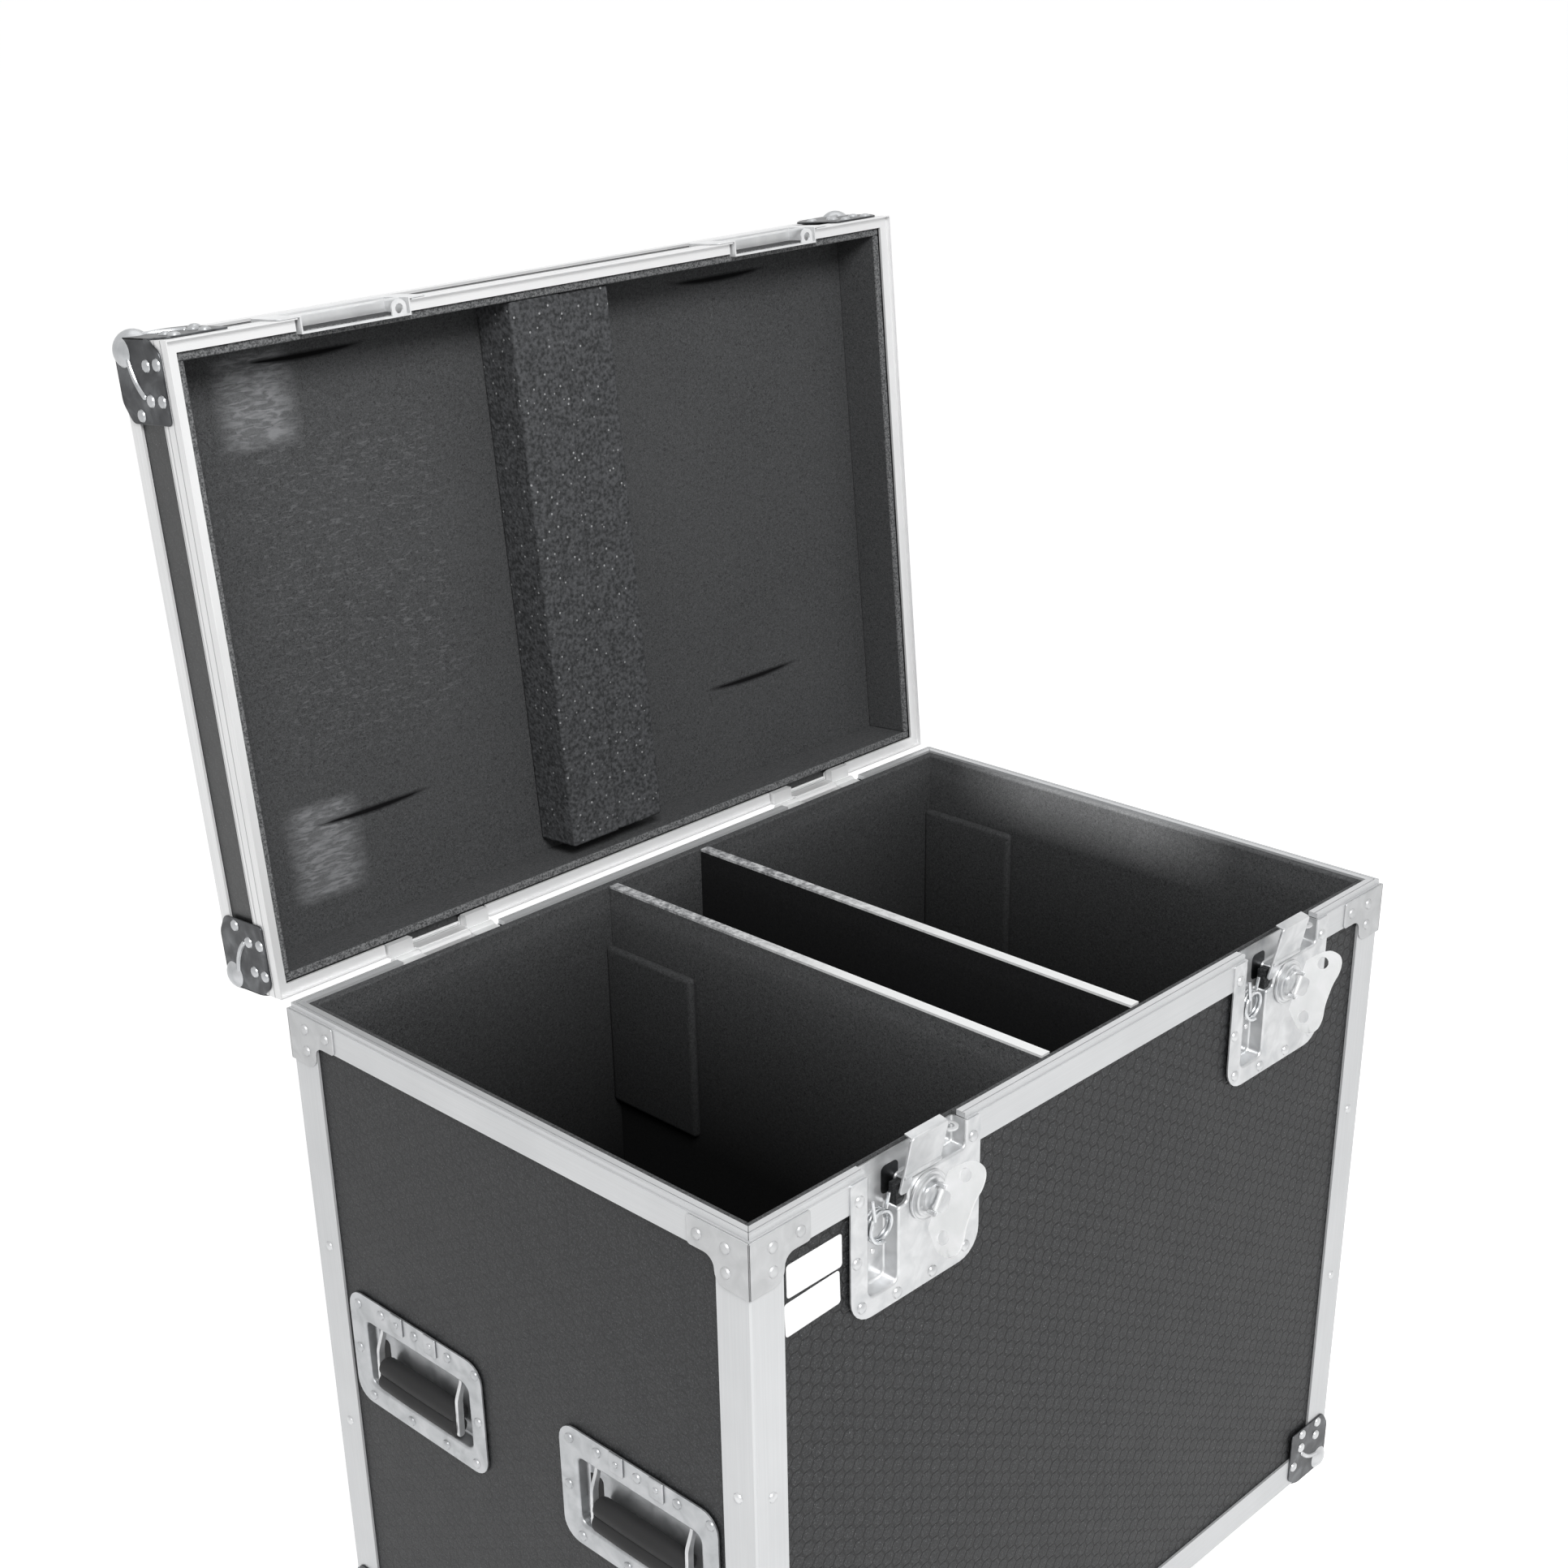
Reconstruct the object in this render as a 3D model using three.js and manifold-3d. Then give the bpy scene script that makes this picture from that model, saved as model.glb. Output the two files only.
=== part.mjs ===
import * as THREE from "three";
import { mergeVertices } from "three/addons/utils/BufferGeometryUtils.js";
import Module from "manifold-3d";

// Lighting flight case: plywood body in aluminium extrusions, hinged lid open on its stops.
// Millimetres, +Z up, the latches on the -Y side, the hinges on the +Y side.

// Driving dimensions of the case
const caseWidth = 730;
const caseDepth = 479;
const baseHeight = 580;
const lidHeight = 66;
const lidOpenDegrees = 95;
const fit = 0.3;
const overrun = 5;

// Sides and steps of the rounded shapes
const roundSides = 20;
const barrelSides = 12;
const pinSides = 10;
const wireSides = 8;
const cornerSteps = 3;
const mergeDistance = 0.0001;

// Panels, lining and extrusions
const skin = 2;
const panelThickness = 6.7;
const floorThickness = 9;
const liningThickness = 6;
const angleLeg = 30;
const lidSideLeg = 14;
const edgeRound = 1.2;
const tongueHeight = 4;
const tongueInset = 1.2;
const lipThickness = 0.8;
const baseFlange = 26;
const lidFlange = 21;
const webThickness = 2;
const sealGrooveInset = 3.4;
const sealGrooveWidth = 0.8;
const sealGrooveDepth = 0.8;
const mitreGap = 0.4;

// Bays
const dividerThickness = 9;
const dividerOffset = 52.5;
const dividerDrop = 2;
const dividerEndGap = 1;
const dividerGroove = 3;

// Hinges
const hingeMargin = 102;
const hingeWidth = 98;
const hingeAxisBack = 5.6;
const hingeAxisDrop = 6.6;
const hingePinRadius = 2.5;
const knuckleWall = 2;
const knuckleEndLength = 24;
const hingeLeafThickness = 1.8;
const hingeLeafHeight = 34;
const hingeLeafRound = 6;
const hingeNotchDepth = 11;
const hingeNotchMargin = 1.5;

// Latches
const latchMargin = 79.75;
const latchSide = 5.5;
const dishWidth = 129.5;
const dishHeight = 108;
const dishRound = 20;
const sheet = 1.2;
const dishProud = 1.2;
const wellDepth = 12.7;
const wellLeft = 17.5;
const wellWidth = 29;
const wellBottomMargin = 15;
const trayWidth = 97;
const trayHeight = 20;
const trayRound = 3;
const hubAcross = 75;
const hubDrop = 43;
const hubRadius = 18;
const hubHeight = 3;
const hubPinRadius = 5;
const capRadius = 13;
const capHeight = 4;
const wingTurnDegrees = 60;
const wingSpan = 68;
const wingHeight = 41;
const wingWaist = 4;
const wingRootWidth = 33;
const wingThickness = 1.8;
const wingHoleRadius = 6.5;
const wingHoleSpread = 22.5;
const wingHoleRise = 17;
const wingSteps = 6;
const wingBarrelRadius = 2.5;
const wingBarrelLength = 15;
const hookWidth = 46;
const hookThickness = 2;
const hookRise = 14;
const hookPivotDrop = 19;
const hookBarrelRadius = 2;
const hookLip = 6;
const hookTiltDegrees = 12;
const hookAcross = 72;
const hookWindowWidth = 12;
const hookWindowHeight = 6;
const earThickness = 3;

// Strike plates on the lid
const strikeHeight = 40;
const strikeRound = 8;
const strikePocketHeight = 30;
const strikePocketDepth = 10;
const keeperHeight = 4;
const padlockTabWidth = 13;
const padlockTabRound = 6;
const padlockHoleRadius = 3.6;
const padlockTabAcross = 104;
const padlockTabDrop = 7;

// Sprung handles
const handleWidth = 166;
const handleHeight = 102;
const handleRound = 16;
const handleBackMargin = 33;
const handleDrop = 234;
const handleDepth = 13;
const handleRim = 15;
const handleBottomRim = 18;
const handleWellRound = 7;
const handleSteps = 3;
const gripRadius = 9;
const gripLength = 100;
const gripLobeDrop = 20;
const gripLobePitch = 15;
const gripLean = 5;
const gripWire = 4;
const gripPivotDrop = 25;
const gripPivotDepth = 5;
const earLength = 8;

// Shares of the castor fork, the wheel's section and the hinge's cheeks
const bridgeShare = 0.7;
const webShare = 0.45;
const crownShare = 0.7;
const cheekShare = 0.55;

// Corner braces and ball corners
const braceArm = 54;
const braceLobe = 46;
const braceSide = 30;
const braceFillet = 9;
const braceThickness = 1.4;
const ballReach = 57;
const ballPlate = 1.5;
const ballRadius = 17;
const ballSink = 8;
const ballRound = 13;
const ballDetail = 1;
const ribHalfWidth = 3;
const ribHeight = 2;
const ribSides = 6;
const ribSteps = 3;

// Shares of the wing's outline, from its root to its tip
const lobeOutShare = 0.62;
const lobeLowShare = 0.14;
const lobeMidShare = 0.6;
const lobeTopShare = 0.72;
const waistShare = 0.4;

// Castors
const castorWheelRadius = 50;
const castorWheelWidth = 32;
const castorHeight = 128;
const castorTrail = 36;
const castorSides = 16;
const castorPlateLength = 105;
const castorPlateWidth = 85;
const castorPlateThickness = 4;
const castorPlateRound = 3;
const castorBoard = 9;
const castorBoardMargin = 3;
const castorInset = 62;
const castorRacewayRadius = 30;
const castorRacewayHeight = 9;
const forkThickness = 3;
const forkGap = 3;
const forkCrown = 4;
const axleRadius = 6;
const hubBossRadius = 14;
const treadThickness = 11;

// Lid foam bar
const barOffset = -11;
const barWidth = 102;
const barHeight = 43;
const barEndMargin = 11;
const barStep = 2;

// Places worked out from the driving dimensions
const halfWidth = caseWidth / 2;
const halfDepth = caseDepth / 2;
const panelFace = skin + fit;
const panelBack = panelFace + panelThickness;
const liningFace = panelBack + fit;
const liningBack = liningFace + liningThickness;
const partingHeight = baseHeight - tongueHeight;
const lidFloor = partingHeight + fit;
const lidTop = lidFloor + lidHeight;
const hingeOffset = halfWidth - hingeMargin - hingeWidth / 2;
const latchOffset = halfWidth - latchMargin - latchSide - dishWidth / 2;
const hingeY = halfDepth + hingeAxisBack;
const hingeZ = baseHeight - hingeAxisDrop;

const full = Math.PI * 2;
const quarter = Math.PI / 2;

// Materials, from the photo
const aluminium = { color: 0xc9cacb, roughness: 0.38, metalness: 0.9 };
const zincSteel = { color: 0xd4d5d6, roughness: 0.28, metalness: 1 };
const laminate = { color: 0x46474a, roughness: 0.6, metalness: 0 };
const foam = { color: 0x2c2d2f, roughness: 0.95, metalness: 0 };
const rubber = { color: 0x1c1c1d, roughness: 0.8, metalness: 0 };

// Solids from three.js geometries, so that they can be joined and cut
const wasm = await Module();
wasm.setup();

function solidOf(geometry) {
  const bare = geometry.index ? geometry.toNonIndexed() : geometry.clone();
  bare.deleteAttribute("normal");
  bare.deleteAttribute("uv");
  const merged = mergeVertices(bare, mergeDistance);
  return new wasm.Manifold(
    new wasm.Mesh({
      numProp: 3,
      vertProperties: merged.attributes.position.array,
      triVerts: new Uint32Array(merged.index.array),
    }),
  );
}

function geometryOf(solid) {
  const made = solid.getMesh();
  return new THREE.BufferGeometry()
    .setAttribute("position", new THREE.BufferAttribute(made.vertProperties, 3))
    .setIndex(new THREE.BufferAttribute(made.triVerts, 1));
}

const join = (solids) => solids.reduce((a, b) => a.add(b));
const cut = (solid, tools) => tools.reduce((a, b) => a.subtract(b), solid);

// A box between pairs of low and high coordinates.
function block([x0, x1], [y0, y1], [z0, z1]) {
  const geometry = new THREE.BoxGeometry(x1 - x0, y1 - y0, z1 - z0);
  return solidOf(geometry.translate((x0 + x1) / 2, (y0 + y1) / 2, (z0 + z1) / 2));
}

// A shape of (across, up) points pushed along one axis, from low to high.
const bases = {
  x: [new THREE.Vector3(0, 1, 0), new THREE.Vector3(0, 0, 1), new THREE.Vector3(1, 0, 0)],
  y: [new THREE.Vector3(1, 0, 0), new THREE.Vector3(0, 0, 1), new THREE.Vector3(0, -1, 0)],
  z: [new THREE.Vector3(1, 0, 0), new THREE.Vector3(0, 1, 0), new THREE.Vector3(0, 0, 1)],
};

function prism(axis, shape, low, high, curveSegments = cornerSteps) {
  const points = Array.isArray(shape) ? shape.map((point) => new THREE.Vector2(...point)) : [];
  const outline = points.length ? new THREE.Shape(points) : shape;
  const geometry = new THREE.ExtrudeGeometry(outline, {
    depth: high - low,
    bevelEnabled: false,
    curveSegments,
  });
  geometry.translate(0, 0, axis === "y" ? -high : low);
  return solidOf(geometry.applyMatrix4(new THREE.Matrix4().makeBasis(...bases[axis])));
}

// A round bar along an axis, from low to high, centred on the other two coordinates.
function bar(axis, radius, [a, b], low, high, sides = barrelSides) {
  const circle = new THREE.Shape(
    Array.from({ length: sides }, (_, i) => {
      const turn = ((i + 1 / 2) / sides) * full;
      return new THREE.Vector2(a + radius * Math.cos(turn), b + radius * Math.sin(turn));
    }),
  );
  return prism(axis, circle, low, high);
}

// A rectangle with rounded corners; each radius starts at the lower left and goes anticlockwise.
function roundedRect([x0, x1], [y0, y1], radii) {
  const [r0, r1, r2, r3] = Array.isArray(radii) ? radii : [radii, radii, radii, radii];
  const shape = new THREE.Shape();
  shape.moveTo(x0 + r0, y0);
  shape.lineTo(x1 - r1, y0);
  if (r1) shape.absarc(x1 - r1, y0 + r1, r1, -quarter, 0);
  shape.lineTo(x1, y1 - r2);
  if (r2) shape.absarc(x1 - r2, y1 - r2, r2, 0, quarter);
  shape.lineTo(x0 + r3, y1);
  if (r3) shape.absarc(x0 + r3, y1 - r3, r3, quarter, 2 * quarter);
  shape.lineTo(x0, y0 + r0);
  if (r0) shape.absarc(x0 + r0, y0 + r0, r0, 2 * quarter, 3 * quarter);
  return shape;
}

// A solid turned round a line, by a matrix worked out from the line's point.
function turned(solid, axis, point, degrees) {
  const angle = THREE.MathUtils.degToRad(degrees);
  const matrix = new THREE.Matrix4().makeTranslation(...point);
  matrix.multiply(new THREE.Matrix4().makeRotationAxis(new THREE.Vector3(...axis), angle));
  matrix.multiply(new THREE.Matrix4().makeTranslation(...point.map((v) => -v)));
  return solidOf(geometryOf(solid).applyMatrix4(matrix));
}

// Four mitred bars round the case: the section's points are (inwards from the outer face, up).
function mitredFrame(section) {
  const corners = [[-1, -1], [1, -1], [1, 1], [-1, 1]];
  const count = section.length;
  const vertices = corners.flatMap(([sx, sy]) =>
    section.flatMap(([inset, up]) => [sx * (halfWidth - inset), sy * (halfDepth - inset), up]),
  );
  const faces = [];
  corners.forEach((_, k) => {
    section.forEach((_, i) => {
      const [a, b] = [k * count, ((k + 1) % corners.length) * count];
      const next = (i + 1) % count;
      faces.push(a + i, b + i, b + next, a + i, b + next, a + next);
    });
  });
  const geometry = new THREE.BufferGeometry()
    .setAttribute("position", new THREE.Float32BufferAttribute(vertices, 3))
    .setIndex(faces);
  const solid = solidOf(geometry);
  if (solid.volume() > 0) return solid;
  for (let i = 0; i < faces.length; i += 3) [faces[i + 1], faces[i + 2]] = [faces[i + 2], faces[i + 1]];
  return solidOf(geometry.setIndex(faces));
}

const root = new THREE.Group();
const baseGroup = new THREE.Group();
const lidGroup = new THREE.Group();
root.add(baseGroup, lidGroup);

function piece(group, name, solid, look) {
  const mesh = new THREE.Mesh(geometryOf(solid), new THREE.MeshStandardMaterial(look));
  mesh.name = name;
  group.add(mesh);
  return mesh;
}

const sides = [["left", -1], ["right", 1]];
const ends = [["front", -1], ["back", 1]];

// Where the hardware breaks through the rims, in X along the front and back walls
const latchSpans = sides.map(([, s]) => {
  const left = s * latchOffset + latchSide - dishWidth / 2;
  return [left, left + dishWidth];
});
const trayOf = ([left]) => [left + wellLeft, left + wellLeft + trayWidth];
const hingeSpans = sides.map(([, s]) => [s * hingeOffset - hingeWidth / 2, s * hingeOffset + hingeWidth / 2]);
const widen = ([low, high], by) => [low - by, high + by];

const frontBand = (low, high) => [-halfDepth + low, -halfDepth + high];
const backBand = (low, high) => [halfDepth - high, halfDepth - low];

// Closing extrusions: the base's tongue enters the channel of the lid's
function mitreSlits(low, high) {
  const half = mitreGap / 2;
  return sides.flatMap(([, sx]) =>
    ends.map(([, sy]) => {
      const slit = block([-half, half], [-panelBack - overrun, overrun], [low, high]);
      const centre = [0, 0, 0];
      const spun = turned(slit, [0, 0, 1], centre, sx * sy > 0 ? (sy > 0 ? -45 : 135) : sy > 0 ? 45 : -135);
      const moved = geometryOf(spun).translate(sx * halfWidth, sy * halfDepth, 0);
      return solidOf(moved);
    }),
  );
}

function baseRim() {
  const foot = baseHeight - baseFlange;
  const frame = mitredFrame([
    [0, foot],
    [skin, foot],
    [skin, partingHeight],
    [panelBack, partingHeight],
    [panelBack, baseHeight],
    [sealGrooveInset + sealGrooveWidth, baseHeight],
    [sealGrooveInset + sealGrooveWidth, baseHeight - sealGrooveDepth],
    [sealGrooveInset, baseHeight - sealGrooveDepth],
    [sealGrooveInset, baseHeight],
    [tongueInset, baseHeight],
    [tongueInset, partingHeight],
    [0, partingHeight],
  ]);
  const latches = latchSpans.map((span) =>
    block(widen(trayOf(span), fit + sheet), frontBand(-overrun, panelBack + overrun), [
      foot - overrun,
      baseHeight + overrun,
    ]),
  );
  const hinges = hingeSpans.map((span) =>
    block(widen(span, hingeNotchMargin), backBand(-overrun, panelBack + overrun), [
      baseHeight - hingeNotchDepth,
      baseHeight + overrun,
    ]),
  );
  return cut(frame, [...latches, ...hinges, ...mitreSlits(partingHeight, baseHeight + overrun)]);
}

// The stretch of a rim between the latches is a bar of its own.
function addRim(group, name, rim) {
  const [left, right] = latchSpans.map((span) => trayOf(span).reduce((a, b) => (a + b) / 2));
  const between = block([left, right], frontBand(-overrun, panelBack + overrun), [0, lidTop]);
  piece(group, `${name}_front`, rim.intersect(between), aluminium);
  piece(group, name, rim.subtract(between), aluminium);
}
addRim(baseGroup, "base_rim", baseRim());

function lidRim() {
  const crown = lidFloor + tongueHeight;
  const frame = mitredFrame([
    [0, lidFloor],
    [lipThickness, lidFloor],
    [lipThickness, crown],
    [panelBack, crown],
    [panelBack, crown + webThickness],
    [skin, crown + webThickness],
    [skin, lidFloor + lidFlange],
    [0, lidFloor + lidFlange],
  ]);
  const strikes = latchSpans.map((span) =>
    block(widen(trayOf(span), fit + sheet), frontBand(-overrun, panelBack + overrun), [
      lidFloor - overrun,
      lidFloor + lidFlange + overrun,
    ]),
  );
  const hinges = hingeSpans.map((span) =>
    block(widen(span, hingeNotchMargin), backBand(-overrun, panelBack + overrun), [
      lidFloor - overrun,
      lidFloor + hingeNotchDepth,
    ]),
  );
  return cut(frame, [...strikes, ...hinges]);
}
addRim(lidGroup, "lid_rim", lidRim());

// Edge angles
const angleSection = (low, sideLeg, up) =>
  [
    [edgeRound, 0],
    [angleLeg, 0],
    [angleLeg, skin],
    [skin, skin],
    [skin, sideLeg],
    [0, sideLeg],
    [0, edgeRound],
  ].map(([inset, rise]) => [inset, low + up * rise]);
piece(baseGroup, "bottom_edge_frame", mitredFrame(angleSection(0, angleLeg, 1)), aluminium);
piece(lidGroup, "lid_edge_frame", mitredFrame(angleSection(lidTop, lidSideLeg, -1)), aluminium);

for (const [endName, sy] of ends) {
  for (const [sideName, sx] of sides) {
    const section = [
      [edgeRound, 0],
      [angleLeg, 0],
      [angleLeg, skin],
      [skin, skin],
      [skin, angleLeg],
      [0, angleLeg],
      [0, edgeRound],
    ].map(([a, b]) => [sx * (halfWidth - a), sy * (halfDepth - b)]);
    const post = prism("z", section, angleLeg + fit, baseHeight - baseFlange - fit);
    piece(baseGroup, `post_${endName}_${sideName}`, post, aluminium);
  }
}

// Panels of the base
const panelTop = partingHeight - fit;
const floorLow = panelFace;
const floorHigh = floorLow + floorThickness;
const handleSpans = [
  [halfDepth - handleBackMargin - handleWidth, halfDepth - handleBackMargin],
  [-halfDepth + handleBackMargin, -halfDepth + handleBackMargin + handleWidth],
];
const handleTop = baseHeight - handleDrop;
const handleLow = handleTop - handleHeight;
const dishTop = partingHeight - fit;
const dishLow = dishTop - dishHeight;

function latchHoles(depthLow, depthHigh, clearance) {
  return latchSpans.flatMap((span) => {
    const [left] = span;
    const well = [left + wellLeft, left + wellLeft + wellWidth];
    return [
      block(widen(well, clearance), frontBand(depthLow, depthHigh), [
        dishLow + wellBottomMargin - clearance,
        baseHeight + overrun,
      ]),
      block(widen(trayOf(span), clearance), frontBand(depthLow, depthHigh), [
        dishTop - trayHeight - clearance,
        baseHeight + overrun,
      ]),
      bar(
        "y",
        hubPinRadius + clearance,
        [left + hubAcross, baseHeight - hubDrop],
        -halfDepth + depthLow,
        -halfDepth + depthHigh,
      ),
    ];
  });
}

function handleHoles(sx, depthLow, depthHigh, clearance) {
  return handleSpans.map(([y0, y1]) =>
    block(
      [sx * (halfWidth - depthLow), sx * (halfWidth - depthHigh)].sort((a, b) => a - b),
      [y0 + handleRim - clearance, y1 - handleRim + clearance],
      [handleLow + handleBottomRim - clearance, handleTop - handleRim + clearance],
    ),
  );
}

const inner = halfWidth - panelFace;
const frontPanel = block(
  [-inner, inner],
  frontBand(panelFace, panelBack),
  [floorHigh + fit, panelTop],
);
piece(baseGroup, "front_panel", cut(frontPanel, latchHoles(-overrun, liningBack, sheet + fit)), laminate);
const hingeHoles = hingeSpans.map((span) =>
  block(widen(span, hingeNotchMargin), backBand(-overrun, panelBack + overrun), [
    baseHeight - hingeNotchDepth,
    baseHeight + overrun,
  ]),
);
const backPanel = block([-inner, inner], backBand(panelFace, panelBack), [floorHigh + fit, panelTop]);
piece(baseGroup, "back_panel", cut(backPanel, hingeHoles), laminate);
for (const [name, sx] of sides) {
  const panel = block(
    [sx * (halfWidth - panelFace), sx * (halfWidth - panelBack)].sort((a, b) => a - b),
    [-halfDepth + panelBack + fit, halfDepth - panelBack - fit],
    [floorHigh + fit, panelTop],
  );
  piece(baseGroup, `${name}_panel`, cut(panel, handleHoles(sx, -overrun, liningBack, sheet + fit)), laminate);
}

// Floor panel with the castor boards, the top plates and the rigid forks of the back castors
const castorX = halfWidth - castorInset - castorPlateLength / 2;
const castorY = halfDepth - castorInset - castorPlateWidth / 2;
const boardLow = skin - castorBoard;
const plateLow = boardLow - castorPlateThickness;
const racewayLow = plateLow - castorRacewayHeight;

// Castors: the fork with its axle, and the wheel, round the swivel axis
const groundZ = boardLow - castorHeight;
const wheelZ = groundZ + castorWheelRadius;
const legInner = castorWheelWidth / 2 + forkGap;
const legOuter = legInner + forkThickness;

function castorFork(crownTop) {
  const crown = bar("z", castorRacewayRadius, [0, 0], crownTop - forkCrown, crownTop, castorSides);
  const rear = -castorRacewayRadius * bridgeShare;
  const bridge = block([-legOuter, legOuter], [rear, castorTrail], [crownTop - forkCrown, crownTop]);
  const legShape = [
    [rear, crownTop],
    [rear, crownTop - 2 * forkCrown],
    [castorTrail - hubBossRadius, wheelZ - hubBossRadius * bridgeShare],
    [castorTrail, wheelZ - hubBossRadius],
    [castorTrail + hubBossRadius, wheelZ],
    [castorTrail + hubBossRadius * bridgeShare, wheelZ + hubBossRadius],
    [castorTrail, crownTop],
  ];
  const legs = [
    [-legOuter, -legInner],
    [legInner, legOuter],
  ].map(([low, high]) => prism("x", legShape, low, high));
  const axleEnd = legOuter + forkThickness;
  const axle = bar("x", axleRadius, [castorTrail, wheelZ], -axleEnd, axleEnd, pinSides);
  return join([crown, bridge, ...legs, axle]);
}

function castorWheel() {
  const half = castorWheelWidth / 2;
  const bossHalf = legInner - fit;
  const bore = axleRadius + fit;
  const rim = castorWheelRadius - treadThickness;
  const profile = [
    [bore, -bossHalf],
    [hubBossRadius, -bossHalf],
    [hubBossRadius, -half * webShare],
    [rim, -half * webShare],
    [rim, -half],
    [castorWheelRadius - treadThickness / 2, -half],
    [castorWheelRadius, -half * crownShare],
    [castorWheelRadius, half * crownShare],
    [castorWheelRadius - treadThickness / 2, half],
    [rim, half],
    [rim, half * webShare],
    [hubBossRadius, half * webShare],
    [hubBossRadius, bossHalf],
    [bore, bossHalf],
    [bore, -bossHalf],
  ].map(([r, h]) => new THREE.Vector2(r, h));
  const geometry = new THREE.LatheGeometry(profile, castorSides);
  return solidOf(geometry.rotateZ(quarter).translate(0, castorTrail, wheelZ));
}

function floorPanel() {
  const slab = block([-inner, inner], [-halfDepth + panelFace, halfDepth - panelFace], [floorLow, floorHigh]);
  const mounts = ends.flatMap(([, sy]) =>
    sides.flatMap(([, sx]) => {
      const [x, y] = [sx * castorX, sy * castorY];
      const halfLong = castorPlateLength / 2;
      const halfWide = castorPlateWidth / 2;
      return [
        block(
          widen([x - halfLong, x + halfLong], castorBoardMargin),
          widen([y - halfWide, y + halfWide], castorBoardMargin),
          [boardLow, floorLow],
        ),
        prism(
          "z",
          roundedRect([x - halfLong, x + halfLong], [y - halfWide, y + halfWide], castorPlateRound),
          plateLow,
          boardLow,
        ),
        bar("z", castorRacewayRadius, [x, y], racewayLow, plateLow, roundSides),
      ];
    }),
  );
  const rigid = sides.map(([, sx]) =>
    solidOf(geometryOf(castorFork(racewayLow)).translate(sx * castorX, castorY, 0)),
  );
  return join([slab, ...mounts, ...rigid]);
}

// Lining and dividers
const baseLiningTop = baseHeight - dividerDrop;
const liningFloor = floorHigh + fit + liningThickness;
const dividerSpans = sides.map(([, sx]) => [
  sx * dividerOffset - dividerThickness / 2,
  sx * dividerOffset + dividerThickness / 2,
]);
function baseLining() {
  const outer = block(
    widen([-halfWidth, halfWidth], -liningFace),
    widen([-halfDepth, halfDepth], -liningFace),
    [floorHigh + fit, baseLiningTop],
  );
  const inside = block(
    widen([-halfWidth, halfWidth], -liningBack),
    widen([-halfDepth, halfDepth], -liningBack),
    [liningFloor, baseLiningTop + overrun],
  );
  const grooves = dividerSpans.map((span) =>
    block(widen(span, fit), widen([-halfDepth, halfDepth], -liningBack), [
      liningFloor - dividerGroove,
      liningFloor + overrun,
    ]),
  );
  const pockets = [
    ...latchHoles(-overrun, wellDepth + sheet + fit, sheet + 2 * fit),
    ...handleHoles(-1, -overrun, handleDepth + sheet + fit, sheet + 2 * fit),
    ...handleHoles(1, -overrun, handleDepth + sheet + fit, sheet + 2 * fit),
    ...hingeSpans.map((span) =>
      block(widen(span, hingeNotchMargin), backBand(-overrun, liningBack + overrun), [
        baseHeight - hingeNotchDepth,
        baseHeight + overrun,
      ]),
    ),
  ];
  return cut(outer, [inside, ...grooves, ...pockets]);
}
piece(baseGroup, "base_lining", baseLining(), foam);
sides.forEach(([name], i) => {
  const divider = block(dividerSpans[i], widen([-halfDepth, halfDepth], -(liningBack + dividerEndGap)), [
    liningFloor - dividerGroove + fit,
    baseHeight - dividerDrop,
  ]);
  piece(baseGroup, `divider_${name}`, divider, laminate);
});

// Corner braces over the rim and post joints: two plates folded round the upright edge
function braceFace(reach) {
  const top = partingHeight - fit;
  const lobeLow = top - braceLobe;
  const shape = new THREE.Shape();
  shape.moveTo(-braceThickness, top);
  shape.lineTo(-braceThickness, lobeLow + braceFillet);
  shape.absarc(-braceThickness + braceFillet, lobeLow + braceFillet, braceFillet, 2 * quarter, 3 * quarter);
  shape.lineTo(braceSide - braceFillet, lobeLow);
  shape.absarc(braceSide - braceFillet, lobeLow + braceFillet, braceFillet, -quarter, 0);
  shape.lineTo(braceSide, top - baseFlange + tongueHeight - braceFillet);
  shape.absarc(
    braceSide + braceFillet,
    top - baseFlange + tongueHeight - braceFillet,
    braceFillet,
    2 * quarter,
    quarter,
    true,
  );
  shape.lineTo(reach, top - baseFlange + tongueHeight);
  shape.lineTo(reach, top);
  return shape;
}

function cornerBrace() {
  const along = prism("y", braceFace(braceArm), -braceThickness - fit, -fit);
  const across = prism("x", braceFace(braceArm), -braceThickness - fit, -fit);
  const fold = block(
    [-braceThickness - fit, -fit],
    [-braceThickness - fit, -fit],
    [partingHeight - fit - braceLobe + braceFillet, partingHeight - fit],
  );
  return join([along, across, fold]);
}

// Ball corner: three flanges round a corner at the origin, with pressed ribs and a domed ball
function ballFlange(axis) {
  const span = [-ballPlate - fit, ballReach];
  return prism(axis, roundedRect(span, span, [0, 0, ballRound, 0]), -ballPlate - fit, -fit);
}

// A pressed rib: a six-sided tube along a curve in the flange's face, half sunk into it.
function pressedRib(axis, shares, steps) {
  const sink = -ballPlate - fit + ribHalfWidth - ribHeight;
  const place = { x: (a, b) => [sink, a, b], y: (a, b) => [b, sink, a], z: (a, b) => [a, b, sink] }[axis];
  const points = shares.map(([a, b]) => new THREE.Vector3(...place(a * ballReach, b * ballReach)));
  const section = new THREE.Shape(
    Array.from({ length: ribSides }, (_, i) => {
      const turn = (i / ribSides) * full;
      return new THREE.Vector2(ribHalfWidth * Math.cos(turn), ribHalfWidth * Math.sin(turn));
    }),
  );
  const path = new THREE.CatmullRomCurve3(points);
  return solidOf(new THREE.ExtrudeGeometry(section, { steps, extrudePath: path, bevelEnabled: false }));
}

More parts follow.
